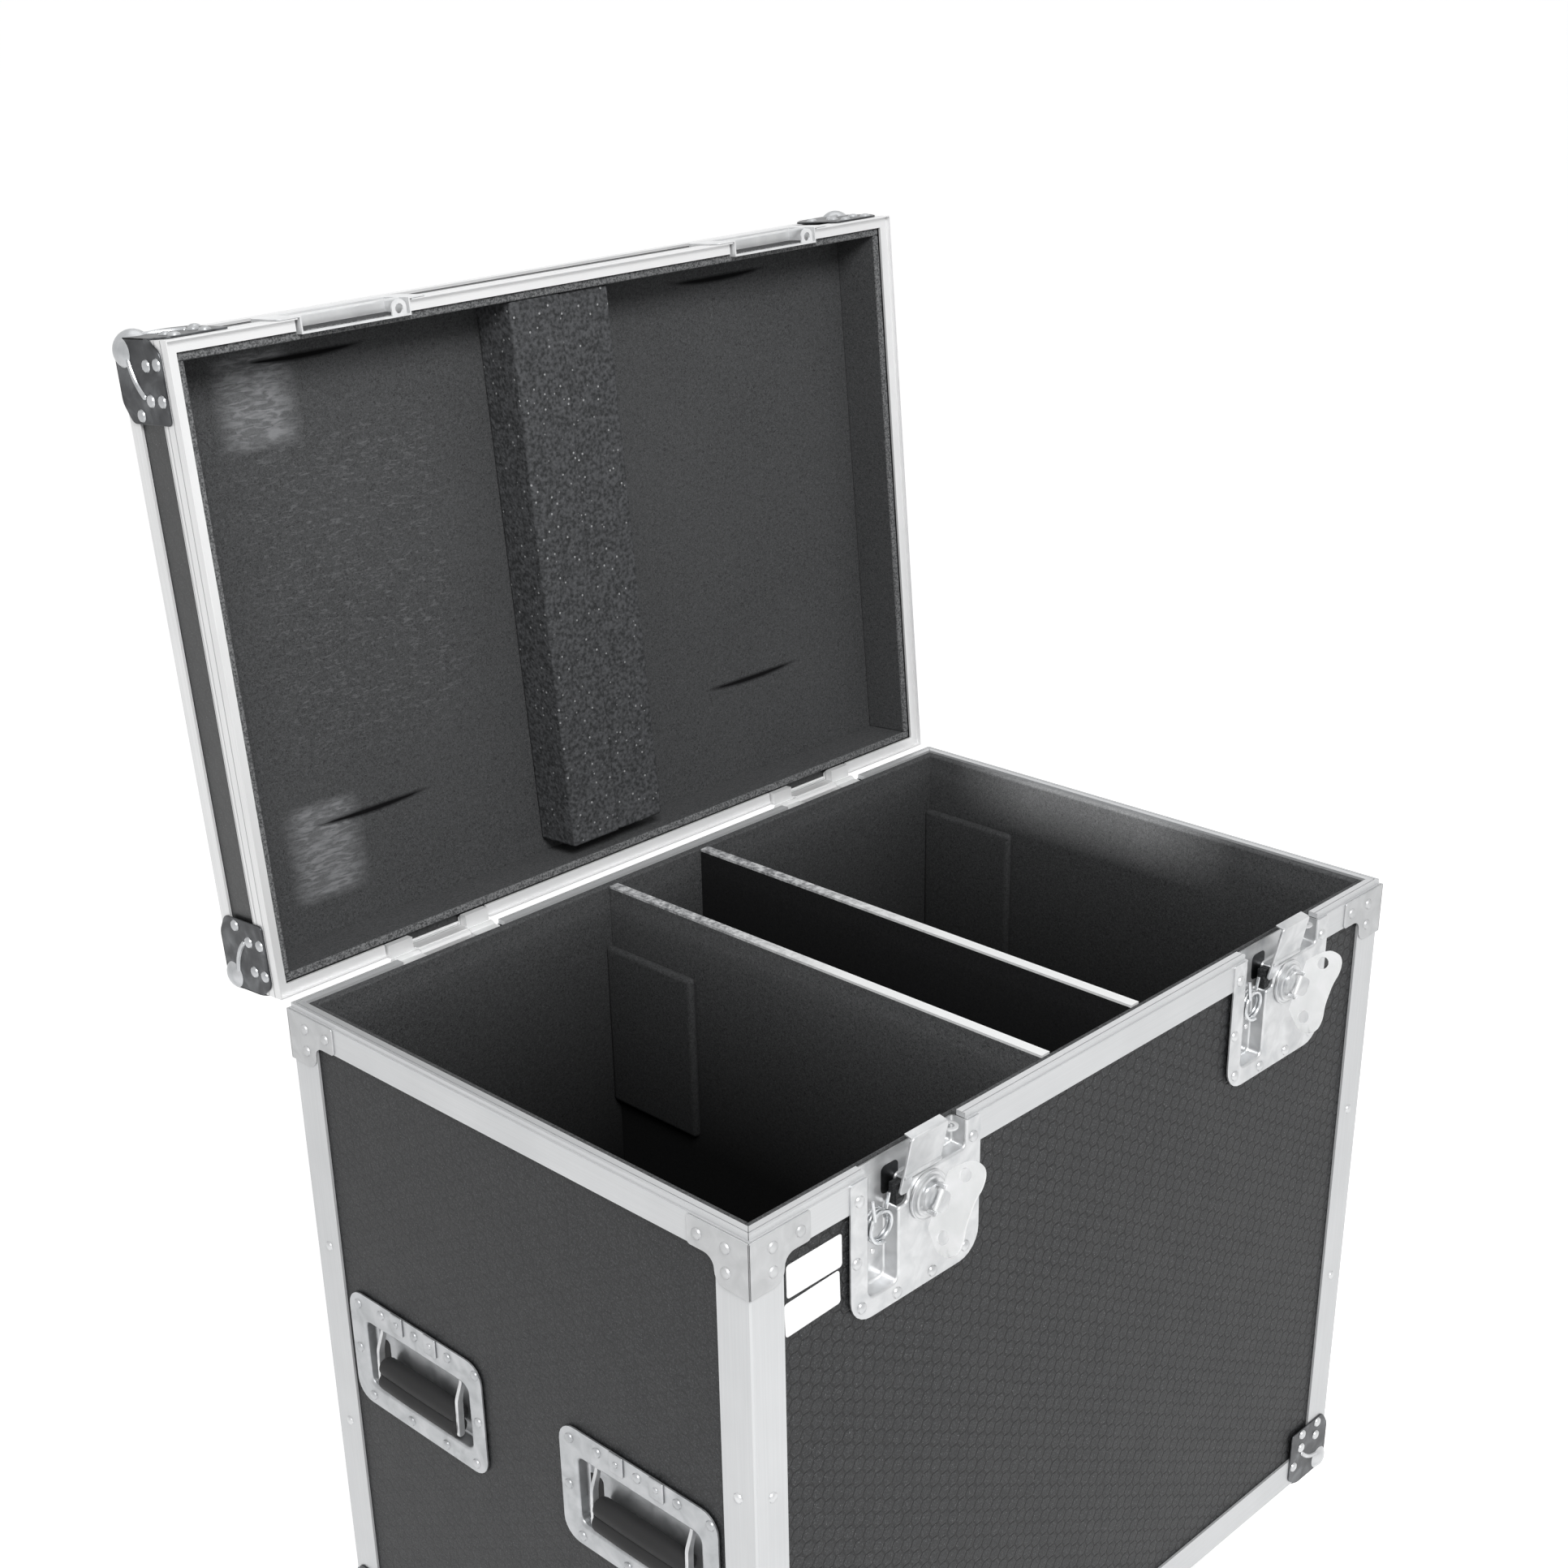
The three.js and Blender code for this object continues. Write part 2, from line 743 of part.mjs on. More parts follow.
const ribShares = [
  [0.3, 0.06],
  [0.42, 0.34],
  [0.66, 0.5],
  [0.8, 0.74],
];
const edgeRibShares = [
  [0.06, 0.5],
  [0.06, 0.94],
];

function ballCorner() {
  const ball = new THREE.IcosahedronGeometry(ballRadius, ballDetail);
  ball.translate(ballSink, ballSink, ballSink);
  const inside = widen([0, ballReach], overrun * 2).map((v, i) => (i ? v : -fit));
  const clear = block(inside, inside, inside);
  const flanges = ["x", "y", "z"].map(ballFlange);
  const ribs = ["x", "y", "z"].map((axis) => pressedRib(axis, ribShares, ribSteps));
  const edges = ["x", "y", "z"].map((axis) => pressedRib(axis, edgeRibShares, 1));
  return cut(join([...flanges, solidOf(ball), ...ribs, ...edges]), [clear]);
}

// Placed copies of a corner piece: mirrored by the signs of its corner.
function cornered(group, name, solid, look, [sx, sy, sz], height) {
  const mesh = piece(group, name, solid, look);
  mesh.position.set(sx * halfWidth, sy * halfDepth, height);
  mesh.scale.set(-sx, -sy, sz);
  return mesh;
}

const brace = cornerBrace();
const corner = ballCorner();
for (const [endName, sy] of ends) {
  for (const [sideName, sx] of sides) {
    cornered(baseGroup, `corner_brace_${endName}_${sideName}`, brace, zincSteel, [sx, sy, 1], 0);
    cornered(baseGroup, `base_ball_corner_${endName}_${sideName}`, corner, zincSteel, [sx, sy, 1], 0);
    cornered(lidGroup, `lid_ball_corner_${endName}_${sideName}`, corner, zincSteel, [sx, sy, -1], lidTop);
  }
}

// Latches, in each latch's own frame: X from the dish's left edge, Y from the front face, Z from the base
const tray = [wellLeft, wellLeft + trayWidth];
const well = [wellLeft, wellLeft + wellWidth];
const dishFront = -dishProud;
const hubZ = baseHeight - hubDrop;
const trayLow = dishTop - trayHeight;
const wellLow = dishLow + wellBottomMargin;
const pivotZ = baseHeight - hookPivotDrop;
const hookBack = dishFront - fit;
const hookPivotY = hookBack - hookThickness / 2;

function latchDish() {
  const radii = [dishRound, dishRound, trayRound, trayRound];
  const flange = prism("y", roundedRect([0, dishWidth], [dishLow, dishTop], radii), dishFront, -fit);
  const backing = prism(
    "y",
    roundedRect([0, dishWidth], [dishLow, baseHeight - baseFlange - fit], [dishRound, dishRound, 0, 0]),
    dishFront,
    panelFace - fit,
  );
  const boxDepth = [dishFront, wellDepth + sheet];
  const wellBox = block(widen(well, sheet), boxDepth, [wellLow - sheet, dishTop]);
  const trayBox = block(widen(tray, sheet), boxDepth, [trayLow - sheet, baseHeight - fit]);
  const boss = bar("y", hubPinRadius + fit + sheet, [hubAcross, hubZ], dishFront, panelBack, barrelSides);
  const hollow = [
    block(well, [dishFront - overrun, wellDepth], [wellLow, dishTop]),
    block(tray, [dishFront - overrun, wellDepth], [trayLow, baseHeight + overrun]),
    block(widen(tray, sheet + overrun), [dishFront - overrun, 0], [dishTop, baseHeight + overrun]),
    bar("y", hubPinRadius + fit, [hubAcross, hubZ], dishFront - overrun, panelBack + overrun, barrelSides),
  ];
  const lug = padlockTab(baseHeight - padlockTabDrop, wellDepth + sheet / 2);
  const ears = [-1, 1].map((side) => {
    const edge = hookAcross + side * (hookWidth / 2 + fit);
    const span = [edge, edge + side * earThickness].sort((a, b) => a - b);
    const plate = block(span, [hookBack - hookThickness, panelFace], widen([pivotZ, pivotZ], hookThickness));
    return plate.add(block(span, [0, wellDepth + sheet / 2], widen([pivotZ, pivotZ], hookThickness)));
  });
  const pinSpan = widen([hookAcross, hookAcross], hookWidth / 2 + earThickness);
  const pin = bar("x", hookBarrelRadius / 2, [hookPivotY, pivotZ], ...pinSpan, wireSides);
  return join([cut(join([flange, backing, wellBox, trayBox, boss]), hollow), lug, ...ears, pin]);
}

// A padlock eye: a level tab with a round end, reaching out from the back of a tray.
function padlockTab(low, back) {
  const half = padlockTabWidth / 2;
  const outline = roundedRect(
    [padlockTabAcross - half, padlockTabAcross + half],
    [dishFront, back],
    [padlockTabRound, padlockTabRound, 0, 0],
  );
  const tab = prism("z", outline, low, low + sheet + fit);
  const middle = [padlockTabAcross, dishFront + half];
  const hole = bar("z", padlockHoleRadius, middle, low - overrun, low + overrun, pinSides);
  return cut(tab, [hole]);
}

// The cam: its pin through the dish, the round knob, and the two lugs that carry the wings
const camFront = dishFront - fit - hubHeight;
const capFront = camFront - capHeight;
const foldY = capFront - wingBarrelRadius - fit;
const wingTurn = wingTurnDegrees;
const hubPoint = [hubAcross, 0, hubZ];

function latchCam() {
  const disc = bar("y", hubRadius, [hubAcross, hubZ], camFront, dishFront - fit, roundSides);
  const cap = bar("y", capRadius, [hubAcross, hubZ], capFront, camFront, roundSides);
  const pin = bar("y", hubPinRadius, [hubAcross, hubZ], dishFront - fit, panelBack, barrelSides);
  const lugs = [-1, 1].map((side) => {
    const edge = hubAcross + side * (wingBarrelLength / 2 + fit);
    const span = [edge, edge + side * earThickness].sort((a, b) => a - b);
    return block(span, [foldY - wingBarrelRadius, capFront], widen([hubZ, hubZ], wingBarrelRadius));
  });
  const axleSpan = widen([hubAcross, hubAcross], wingBarrelLength / 2 + earThickness);
  const axle = bar("x", wingBarrelRadius / 2, [foldY, hubZ], ...axleSpan, wireSides);
  return turned(join([disc, cap, pin, ...lugs, axle]), [0, 1, 0], hubPoint, -wingTurn);
}

// The wings: one pressed plate with two lobes and two finger holes, standing on its fold line
function latchWing() {
  const root = wingRootWidth / 2;
  const lobe = wingSpan / 2;
  const shape = new THREE.Shape();
  shape.moveTo(-root, wingBarrelRadius);
  shape.quadraticCurveTo(-lobe * lobeOutShare, wingHeight * lobeLowShare, -lobe, wingHeight * lobeMidShare);
  shape.quadraticCurveTo(-lobe, wingHeight, -lobe * lobeTopShare, wingHeight);
  shape.quadraticCurveTo(-lobe * waistShare, wingHeight - wingWaist, 0, wingHeight - wingWaist);
  shape.quadraticCurveTo(lobe * waistShare, wingHeight - wingWaist, lobe * lobeTopShare, wingHeight);
  shape.quadraticCurveTo(lobe, wingHeight, lobe, wingHeight * lobeMidShare);
  shape.quadraticCurveTo(lobe * lobeOutShare, wingHeight * lobeLowShare, root, wingBarrelRadius);
  shape.closePath();
  const half = wingThickness / 2;
  const place = (solid) => {
    const geometry = geometryOf(solid).rotateX(full / 2).translate(hubAcross, foldY, hubZ);
    return solidOf(geometry);
  };
  const plate = prism("z", shape, -half, half, wingSteps);
  const wingHoleHeight = wingHoleRise + wingBarrelRadius;
  const holes = [-1, 1].map((side) =>
    bar("z", wingHoleRadius, [side * wingHoleSpread, wingHoleHeight], -overrun, overrun, pinSides),
  );
  const halfBarrel = wingBarrelLength / 2;
  const foot = block([-halfBarrel, halfBarrel], [0, wingBarrelRadius + half], [-half, half]);
  const relief = [-1, 1].map((side) => {
    const low = side * (halfBarrel + fit / 2);
    const span = [low, low + side * (earThickness + 2 * fit)].sort((a, b) => a - b);
    return block(span, [0, 2 * wingBarrelRadius], [-overrun, overrun]);
  });
  const barrel = bar("x", wingBarrelRadius, [0, 0], -halfBarrel, halfBarrel, pinSides);
  const boreEnd = halfBarrel + overrun;
  const bore = bar("x", wingBarrelRadius / 2 + fit, [0, 0], -boreEnd, boreEnd, wireSides);
  const wing = place(cut(join([cut(plate, [...holes, ...relief]), foot, barrel]), [bore]));
  return turned(wing, [0, 1, 0], hubPoint, -wingTurn);
}

// The hook: a strap hinged at the foot of the tray, tilted out while the latch is open
function latchHook() {
  const span = [hookAcross - hookWidth / 2, hookAcross + hookWidth / 2];
  const top = baseHeight + hookRise;
  const strap = block(span, [hookBack - hookThickness, hookBack], [pivotZ, top]);
  const lip = block(span, [hookBack - hookThickness / 2, hookBack + hookLip], [top - hookThickness, top]);
  const barrel = bar("x", hookBarrelRadius, [hookPivotY, pivotZ], ...span, pinSides);
  const boreRadius = hookBarrelRadius / 2 + fit;
  const bore = bar("x", boreRadius, [hookPivotY, pivotZ], ...widen(span, overrun), wireSides);
  const slot = block(
    widen([hookAcross, hookAcross], hookWindowWidth / 2),
    [hookBack - overrun, hookBack + overrun / 2],
    [baseHeight - hookWindowHeight, baseHeight],
  );
  const hook = cut(join([strap, lip, barrel]), [bore, slot]);
  return turned(hook, [1, 0, 0], [0, hookPivotY, pivotZ], hookTiltDegrees);
}

// The strike plate on the lid: a pocket for the hook behind its keeper bar
const strikeTray = widen(tray, -sheet - fit);
function latchStrike() {
  const low = lidFloor;
  const high = low + strikeHeight;
  const outline = roundedRect([0, dishWidth], [low, high], [trayRound, trayRound, strikeRound, strikeRound]);
  const flange = prism("y", outline, dishFront, -fit);
  const pocket = [low, low + strikePocketHeight];
  const boxDepth = [dishFront, strikePocketDepth + sheet];
  const box = block(widen(strikeTray, sheet), boxDepth, [low, pocket[1] + sheet]);
  const backing = prism(
    "y",
    roundedRect([0, dishWidth], [low + lidFlange + fit, high], [0, 0, strikeRound, strikeRound]),
    dishFront,
    panelFace - fit,
  );
  const hollow = block(strikeTray, [dishFront - overrun, strikePocketDepth], [low - overrun, pocket[1]]);
  const ledge = baseHeight + hookRise - hookThickness - fit;
  const keeper = block(widen(strikeTray, sheet / 2), [dishFront, 0], [ledge - keeperHeight, ledge]);
  const eye = padlockTab(low + fit, strikePocketDepth + sheet / 2);
  return join([cut(join([flange, backing, box]), [hollow]), keeper, eye]);
}

const dish = latchDish();
const cam = latchCam();
const wing = latchWing();
const hook = latchHook();
const strike = latchStrike();
sides.forEach(([name], i) => {
  const place = (mesh) => mesh.position.set(latchSpans[i][0], -halfDepth, 0);
  place(piece(baseGroup, `latch_dish_${name}`, dish, zincSteel));
  place(piece(baseGroup, `latch_cam_${name}`, cam, zincSteel));
  place(piece(baseGroup, `latch_wing_${name}`, wing, zincSteel));
  place(piece(baseGroup, `latch_hook_${name}`, hook, zincSteel));
  place(piece(lidGroup, `latch_strike_${name}`, strike, zincSteel));
});

// Side handles, in each dish's own frame: X inwards from the case's face, Y along it, Z from the base
const handleFront = panelFace - fit - sheet;
const pivotHandleZ = handleTop - gripPivotDrop;
const handleWell = [handleRim, handleWidth - handleRim];
const handleWellZ = [handleLow + handleBottomRim, handleTop - handleRim];
const gripSpan = [(handleWidth - gripLength) / 2, (handleWidth + gripLength) / 2];

function handleDish() {
  const outline = roundedRect([0, handleWidth], [handleLow, handleTop], handleRound);
  const flange = prism("x", outline, handleFront, handleFront + sheet);
  const box = prism(
    "x",
    roundedRect(widen(handleWell, sheet), widen(handleWellZ, sheet), handleWellRound),
    handleFront,
    handleDepth + sheet,
    handleSteps,
  );
  const mouth = roundedRect(handleWell, handleWellZ, handleWellRound - sheet);
  const hollow = prism("x", mouth, -overrun, handleDepth, handleSteps);
  const ears = [-1, 1].map((side) => {
    const edge = side < 0 ? gripSpan[0] - fit : gripSpan[1] + fit;
    const span = [edge, edge + side * earLength].sort((a, b) => a - b);
    const depth = [gripPivotDepth - gripWire, handleDepth + sheet / 2];
    return block(depth, span, widen([pivotHandleZ, pivotHandleZ], gripWire));
  });
  const pin = bar(
    "y",
    gripWire / 2,
    [gripPivotDepth, pivotHandleZ],
    gripSpan[0] - earLength,
    gripSpan[1] + earLength,
    wireSides,
  );
  return join([cut(join([flange, box]), [hollow]), ...ears, pin]);
}

// The grip: two rubber lobes side by side on two arms that turn on the dish's pin
function handleGrip() {
  const lobeZ = pivotHandleZ - gripLobeDrop;
  const lobeDepth = gripPivotDepth - gripLean;
  const upper = bar("y", gripRadius, [lobeDepth, lobeZ], ...gripSpan, barrelSides);
  const lower = bar("y", gripRadius, [lobeDepth, lobeZ - gripLobePitch], ...gripSpan, barrelSides);
  const arms = gripSpan.map((edge, i) => {
    const span = i ? [edge - 2 * gripWire, edge] : [edge, edge + 2 * gripWire];
    const arm = block(widen([gripPivotDepth, gripPivotDepth], gripWire), span, [lobeZ, pivotHandleZ]);
    return arm.add(bar("y", gripWire, [gripPivotDepth, pivotHandleZ], ...span, pinSides));
  });
  const boreRadius = gripWire / 2 + fit;
  const boreSpan = widen([0, handleWidth], overrun);
  const bore = bar("y", boreRadius, [gripPivotDepth, pivotHandleZ], ...boreSpan, wireSides);
  return cut(join([upper, lower, ...arms]), [bore]);
}

const sideDish = handleDish();
const grip = handleGrip();
for (const [sideName, sx] of sides) {
  for (const [i, endName] of ["back", "front"].entries()) {
    for (const [name, solid, look] of [["handle_dish", sideDish, zincSteel], ["handle_grip", grip, rubber]]) {
      const mesh = piece(baseGroup, `${name}_${sideName}_${endName}`, solid, look);
      mesh.position.set(sx * halfWidth, handleSpans[i][0], 0);
      mesh.scale.x = -sx;
    }
  }
}

piece(baseGroup, "floor_panel", floorPanel(), laminate);
const fork = castorFork(racewayLow - fit);
const wheel = castorWheel();
for (const [endName, sy] of ends) {
  for (const [sideName, sx] of sides) {
    const place = (mesh) => mesh.position.set(sx * castorX, sy * castorY, 0);
    if (sy < 0) place(piece(baseGroup, `castor_fork_${endName}_${sideName}`, fork, zincSteel));
    place(piece(baseGroup, `castor_wheel_${endName}_${sideName}`, wheel, rubber));
  }
}

// Stay hinges, in each hinge's own frame: X from its middle, Y from the case's back face
const knuckleRadius = hingePinRadius + knuckleWall;
const halfHinge = hingeWidth / 2;
const knuckleEdge = halfHinge - knuckleEndLength;
const leafY = [fit, fit + hingeLeafThickness];

function hingeLeaf(low, high, roundLow) {
  const radii = roundLow ? [hingeLeafRound, hingeLeafRound, 0, 0] : [0, 0, hingeLeafRound, hingeLeafRound];
  return prism("y", roundedRect([-halfHinge, halfHinge], [low, high], radii), ...leafY);
}

function knuckle(low, high) {
  const round = bar("x", knuckleRadius, [hingeAxisBack, hingeZ], low, high, barrelSides);
  return round.add(block([low, high], [leafY[0], hingeAxisBack], widen([hingeZ, hingeZ], knuckleRadius / 2)));
}

function hingeBaseLeaf() {
  const leaf = hingeLeaf(hingeZ - hingeLeafHeight, hingeZ + knuckleRadius / 2, true);
  const sweep = block(
    widen([-knuckleEdge, knuckleEdge], fit),
    [-overrun, hingeAxisBack + knuckleRadius + overrun],
    [hingeZ - knuckleRadius - fit, baseHeight],
  );
  const ends = [
    [-halfHinge, -knuckleEdge],
    [knuckleEdge, halfHinge],
  ];
  const shoulders = ends.map((span) =>
    block(span, [-panelBack + fit, leafY[1]], [baseHeight - hingeNotchDepth + fit, partingHeight - fit]),
  );
  const pinEnd = knuckleEdge + fit;
  const pin = bar("x", hingePinRadius, [hingeAxisBack, hingeZ], -pinEnd, pinEnd, pinSides);
  return join([cut(leaf, [sweep]), ...ends.map((span) => knuckle(...span)), ...shoulders, pin]);
}

function hingeLidLeaf() {
  const low = lidFloor + fit;
  const leaf = hingeLeaf(low, lidFloor + hingeLeafHeight, false);
  const middle = [-knuckleEdge + fit, knuckleEdge - fit];
  const arm = block(middle, [leafY[0], hingeAxisBack], [hingeZ, low + fit]);
  const round = bar("x", knuckleRadius, [hingeAxisBack, hingeZ], ...middle, barrelSides);
  const bore = bar("x", hingePinRadius + fit, [hingeAxisBack, hingeZ], -halfHinge, halfHinge, pinSides);
  const cheekShape = [
    [leafY[1], low],
    [leafY[1], low + hingeNotchDepth - 2 * fit],
    [-panelBack * cheekShare, low + hingeNotchDepth - 2 * fit],
    [-panelBack + fit, low + hingeNotchDepth * cheekShare],
    [-panelBack + fit, low],
  ];
  const cheeks = [-1, 1].map((side) => {
    const edge = side * halfHinge;
    const span = [edge, edge - side * (knuckleEndLength - hingeNotchMargin)].sort((a, b) => a - b);
    return prism("x", cheekShape, ...span);
  });
  return cut(join([leaf, arm, round, ...cheeks]), [bore]);
}

const baseLeaf = hingeBaseLeaf();
const lidLeaf = hingeLidLeaf();
for (const [name, sx] of sides) {
  const place = (mesh) => mesh.position.set(sx * hingeOffset, halfDepth, 0);
  place(piece(baseGroup, `hinge_base_leaf_${name}`, baseLeaf, zincSteel));
  place(piece(lidGroup, `hinge_lid_leaf_${name}`, lidLeaf, zincSteel));
}

// The lid's plywood shell, its lining and the foam bar that holds the load down
const wallLow = lidFloor + tongueHeight + webThickness + fit;
const hollowOf = (inset, low, high) =>
  block(widen([-halfWidth, halfWidth], -inset), widen([-halfDepth, halfDepth], -inset), [low, high]);

function strikePockets(depth, clearance) {
  return latchSpans.map((span) =>
    block(widen(trayOf(span), sheet + clearance), frontBand(-overrun, depth), [
      lidFloor - overrun,
      lidFloor + strikePocketHeight + sheet + clearance,
    ]),
  );
}

function hingeNotches(depth) {
  return hingeSpans.map((span) =>
    block(widen(span, hingeNotchMargin), backBand(-overrun, depth), [
      lidFloor - overrun,
      lidFloor + hingeNotchDepth + fit,
    ]),
  );
}

const lidShell = cut(hollowOf(panelFace, wallLow, lidTop - panelFace), [
  hollowOf(panelBack, wallLow - overrun, lidTop - panelBack),
  ...strikePockets(panelBack + overrun, fit),
  ...hingeNotches(panelBack + overrun),
]);
piece(lidGroup, "lid_shell", lidShell, laminate);

function lidLining() {
  const low = baseHeight + dividerDrop;
  const shell = cut(hollowOf(liningFace, low, lidTop - liningFace), [
    hollowOf(liningBack, low - overrun, lidTop - liningBack),
    ...strikePockets(strikePocketDepth + sheet + 2 * fit, 2 * fit),
    ...hingeNotches(liningBack + overrun),
  ]);
  const [left, right] = widen([barOffset, barOffset], barWidth / 2);
  const back = [-halfDepth + liningBack - fit, halfDepth - liningBack - barEndMargin];
  const roof = lidTop - liningBack + fit;
  const strip = (x, height) => block(x, back, [roof - fit - height, roof]);
  const halves = [strip([left, barOffset], barHeight), strip([barOffset - fit, right], barHeight - barStep)];
  return join([shell, ...halves]);
}
piece(lidGroup, "lid_lining", lidLining(), foam);

// The lid open on its stops, and the case set on the ground under the middle of its outline
lidGroup.position.set(0, hingeY, hingeZ);
for (const mesh of lidGroup.children) {
  mesh.position.y -= hingeY;
  mesh.position.z -= hingeZ;
}
lidGroup.rotation.x = -THREE.MathUtils.degToRad(lidOpenDegrees);

const outline = new THREE.Box3().setFromObject(root, true);
const middle = outline.getCenter(new THREE.Vector3());
root.position.set(-middle.x, -middle.y, -outline.min.z);
root.name = "flight_case";

export default root;
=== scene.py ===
"""Lighting flight case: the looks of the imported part, built round its frame.

Sizes are in millimetres in the case's own axes (X right, Y back, Z up, from the middle of the base's
underside) and are turned to the frame's metres once, when a piece is published.
"""

import logging
import math
from dataclasses import dataclass
from enum import Enum
from typing import Any, Callable, Iterable, Optional, Sequence

import bmesh
import bpy
from bmesh.types import BMEdge, BMesh, BMVert
from mathutils import Matrix, Vector


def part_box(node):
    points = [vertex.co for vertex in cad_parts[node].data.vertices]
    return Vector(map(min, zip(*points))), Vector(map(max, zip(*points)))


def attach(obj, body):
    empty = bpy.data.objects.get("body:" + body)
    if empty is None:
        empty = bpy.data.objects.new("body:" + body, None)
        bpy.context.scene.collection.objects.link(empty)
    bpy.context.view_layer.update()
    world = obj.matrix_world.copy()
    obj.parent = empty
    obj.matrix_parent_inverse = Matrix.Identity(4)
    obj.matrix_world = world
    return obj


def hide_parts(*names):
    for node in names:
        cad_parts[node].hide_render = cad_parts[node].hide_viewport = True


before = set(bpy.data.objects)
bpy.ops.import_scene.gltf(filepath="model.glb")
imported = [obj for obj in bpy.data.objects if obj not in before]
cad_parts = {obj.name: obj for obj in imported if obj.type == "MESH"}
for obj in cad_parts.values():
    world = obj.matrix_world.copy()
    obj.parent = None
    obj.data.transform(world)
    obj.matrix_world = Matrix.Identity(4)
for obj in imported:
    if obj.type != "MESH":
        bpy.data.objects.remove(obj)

logging.basicConfig(level=logging.INFO, format="%(message)s")
log = logging.getLogger("flight case")

MM = 0.001
NEAR = 0.01
Point = tuple[float, float]
Triple = tuple[float, float, float]
Rectangle = tuple[float, float, float, float]
Node = bpy.types.Node


# ---------------------------------------------------------------- places


class Wall(Enum):
    """The case's upright faces."""

    FRONT = "front"
    LEFT = "left"
    RIGHT = "right"
    BACK = "back"


def axes(u: Triple, v: Triple, w: Triple, origin: Triple = (0, 0, 0)) -> Matrix:
    """A frame from its three axes.

    Args:
        u: the first axis.
        v: the second.
        w: the third.
        origin: where it starts.

    Returns:
        The matrix from the frame's places to those that its axes are given in.
    """
    return Matrix.Translation(origin) @ Matrix((u, v, w)).transposed().to_4x4()


# Each upright corner: its name and its sides of the case in X and Y.
CORNERS = (("front_left", -1, -1), ("front_right", 1, -1), ("back_left", -1, 1), ("back_right", 1, 1))

# From a flat flange to the axes of Setting.corner, for the level flange and the two upright ones.
CORNER_PLANES = (
    axes((1, 0, 0), (0, 1, 0), (0, 0, -1)),
    axes((1, 0, 0), (0, 0, 1), (0, -1, 0)),
    axes((0, 1, 0), (0, 0, 1), (-1, 0, 0)),
)


@dataclass(frozen=True)
class CaseSizes:
    """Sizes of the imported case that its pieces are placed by."""

    width: float = 730.0
    depth: float = 479.0
    base_height: float = 580.0
    tongue: float = 4.0
    fit: float = 0.3
    lid_height: float = 66.0
    hinge_back: float = 5.6
    hinge_drop: float = 6.6
    lid_open: float = 95.0
    lining_face: float = 9.3
    lining: float = 6.0

    @property
    def lid_floor(self) -> float:
        """Height of the lid's lower edge when it is shut."""
        return self.base_height - self.tongue + self.fit

    @property
    def lid_top(self) -> float:
        """Height of the shut lid's top."""
        return self.lid_floor + self.lid_height

    def length(self, wall: Wall) -> float:
        """How long a wall is."""
        return self.width if wall in (Wall.FRONT, Wall.BACK) else self.depth


class Setting:
    """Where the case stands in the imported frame, and how each face is reached from it."""

    def __init__(self, sizes: CaseSizes) -> None:
        """Reads the case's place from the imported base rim.

        Args:
            sizes: the case's sizes.
        """
        self.sizes = sizes
        low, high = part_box("base_rim")
        middle = (Vector(low) + Vector(high)) / 2
        offset = Vector((middle.x, middle.y, Vector(high).z - sizes.base_height * MM))
        self.world = Matrix.Translation(offset) @ Matrix.Scale(MM, 4)
        hinge = Vector((0, sizes.depth / 2 + sizes.hinge_back, sizes.base_height - sizes.hinge_drop))
        turn = Matrix.Rotation(-math.radians(sizes.lid_open), 4, "X")
        self.lid = Matrix.Translation(hinge) @ turn @ Matrix.Translation(-hinge)

    def face(self, wall: Wall, height: float = 0.0) -> Matrix:
        """A frame on a wall: u along it from its left end, v up from height, w out of it.

        Args:
            wall: which wall.
            height: where v is zero.

        Returns:
            The matrix from the wall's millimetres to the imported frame.
        """
        half_w, half_d = self.sizes.width / 2, self.sizes.depth / 2
        origin, u, w = {
            Wall.FRONT: ((-half_w, -half_d, height), (1, 0, 0), (0, -1, 0)),
            Wall.LEFT: ((-half_w, half_d, height), (0, -1, 0), (-1, 0, 0)),
            Wall.RIGHT: ((half_w, -half_d, height), (0, 1, 0), (1, 0, 0)),
            Wall.BACK: ((half_w, half_d, height), (-1, 0, 0), (0, 1, 0)),
        }[wall]
        return self.world @ axes(u, (0, 0, 1), w, origin)

    def corner(self, sx: int, sy: int, height: float, sz: int = 1, lid: bool = False) -> Matrix:
        """A frame at an upright edge: a and b inwards along the two walls, c up or down.

        Args:
            sx: side of the case in X.
            sy: side of the case in Y.
            height: where c is zero.
            sz: 1 for c upwards, -1 for downwards.
            lid: True to turn the frame with the open lid.

        Returns:
            The matrix from the corner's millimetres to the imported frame.
        """
        origin = Vector((sx * self.sizes.width / 2, sy * self.sizes.depth / 2, height))
        matrix = Matrix.Translation(origin) @ Matrix.Diagonal((-sx, -sy, sz, 1))
        return self.world @ (self.lid @ matrix if lid else matrix)

    def base(self) -> Matrix:
        """The case's own axes."""
        return self.world.copy()

    def shut_lid(self) -> Matrix:
        """The case's own axes, carried by the open lid."""
        return self.world @ self.lid


# ---------------------------------------------------------------- shapes


def new_mesh() -> BMesh:
    """An empty bmesh."""
    return bmesh.new()


def absorb(target: BMesh, source: BMesh, place: Optional[Matrix] = None) -> None:
    """Moves one bmesh's shape into another.

    Args:
        target: the bmesh that grows.
        source: the bmesh that is used up.
        place: where the source goes.
    """
    if place is not None:
        bmesh.ops.transform(source, matrix=place, verts=source.verts)
        if place.determinant() < 0:
            bmesh.ops.reverse_faces(source, faces=source.faces)
    shape = bpy.data.meshes.new("part")
    source.to_mesh(shape)
    source.free()
    target.from_mesh(shape)
    bpy.data.meshes.remove(shape)


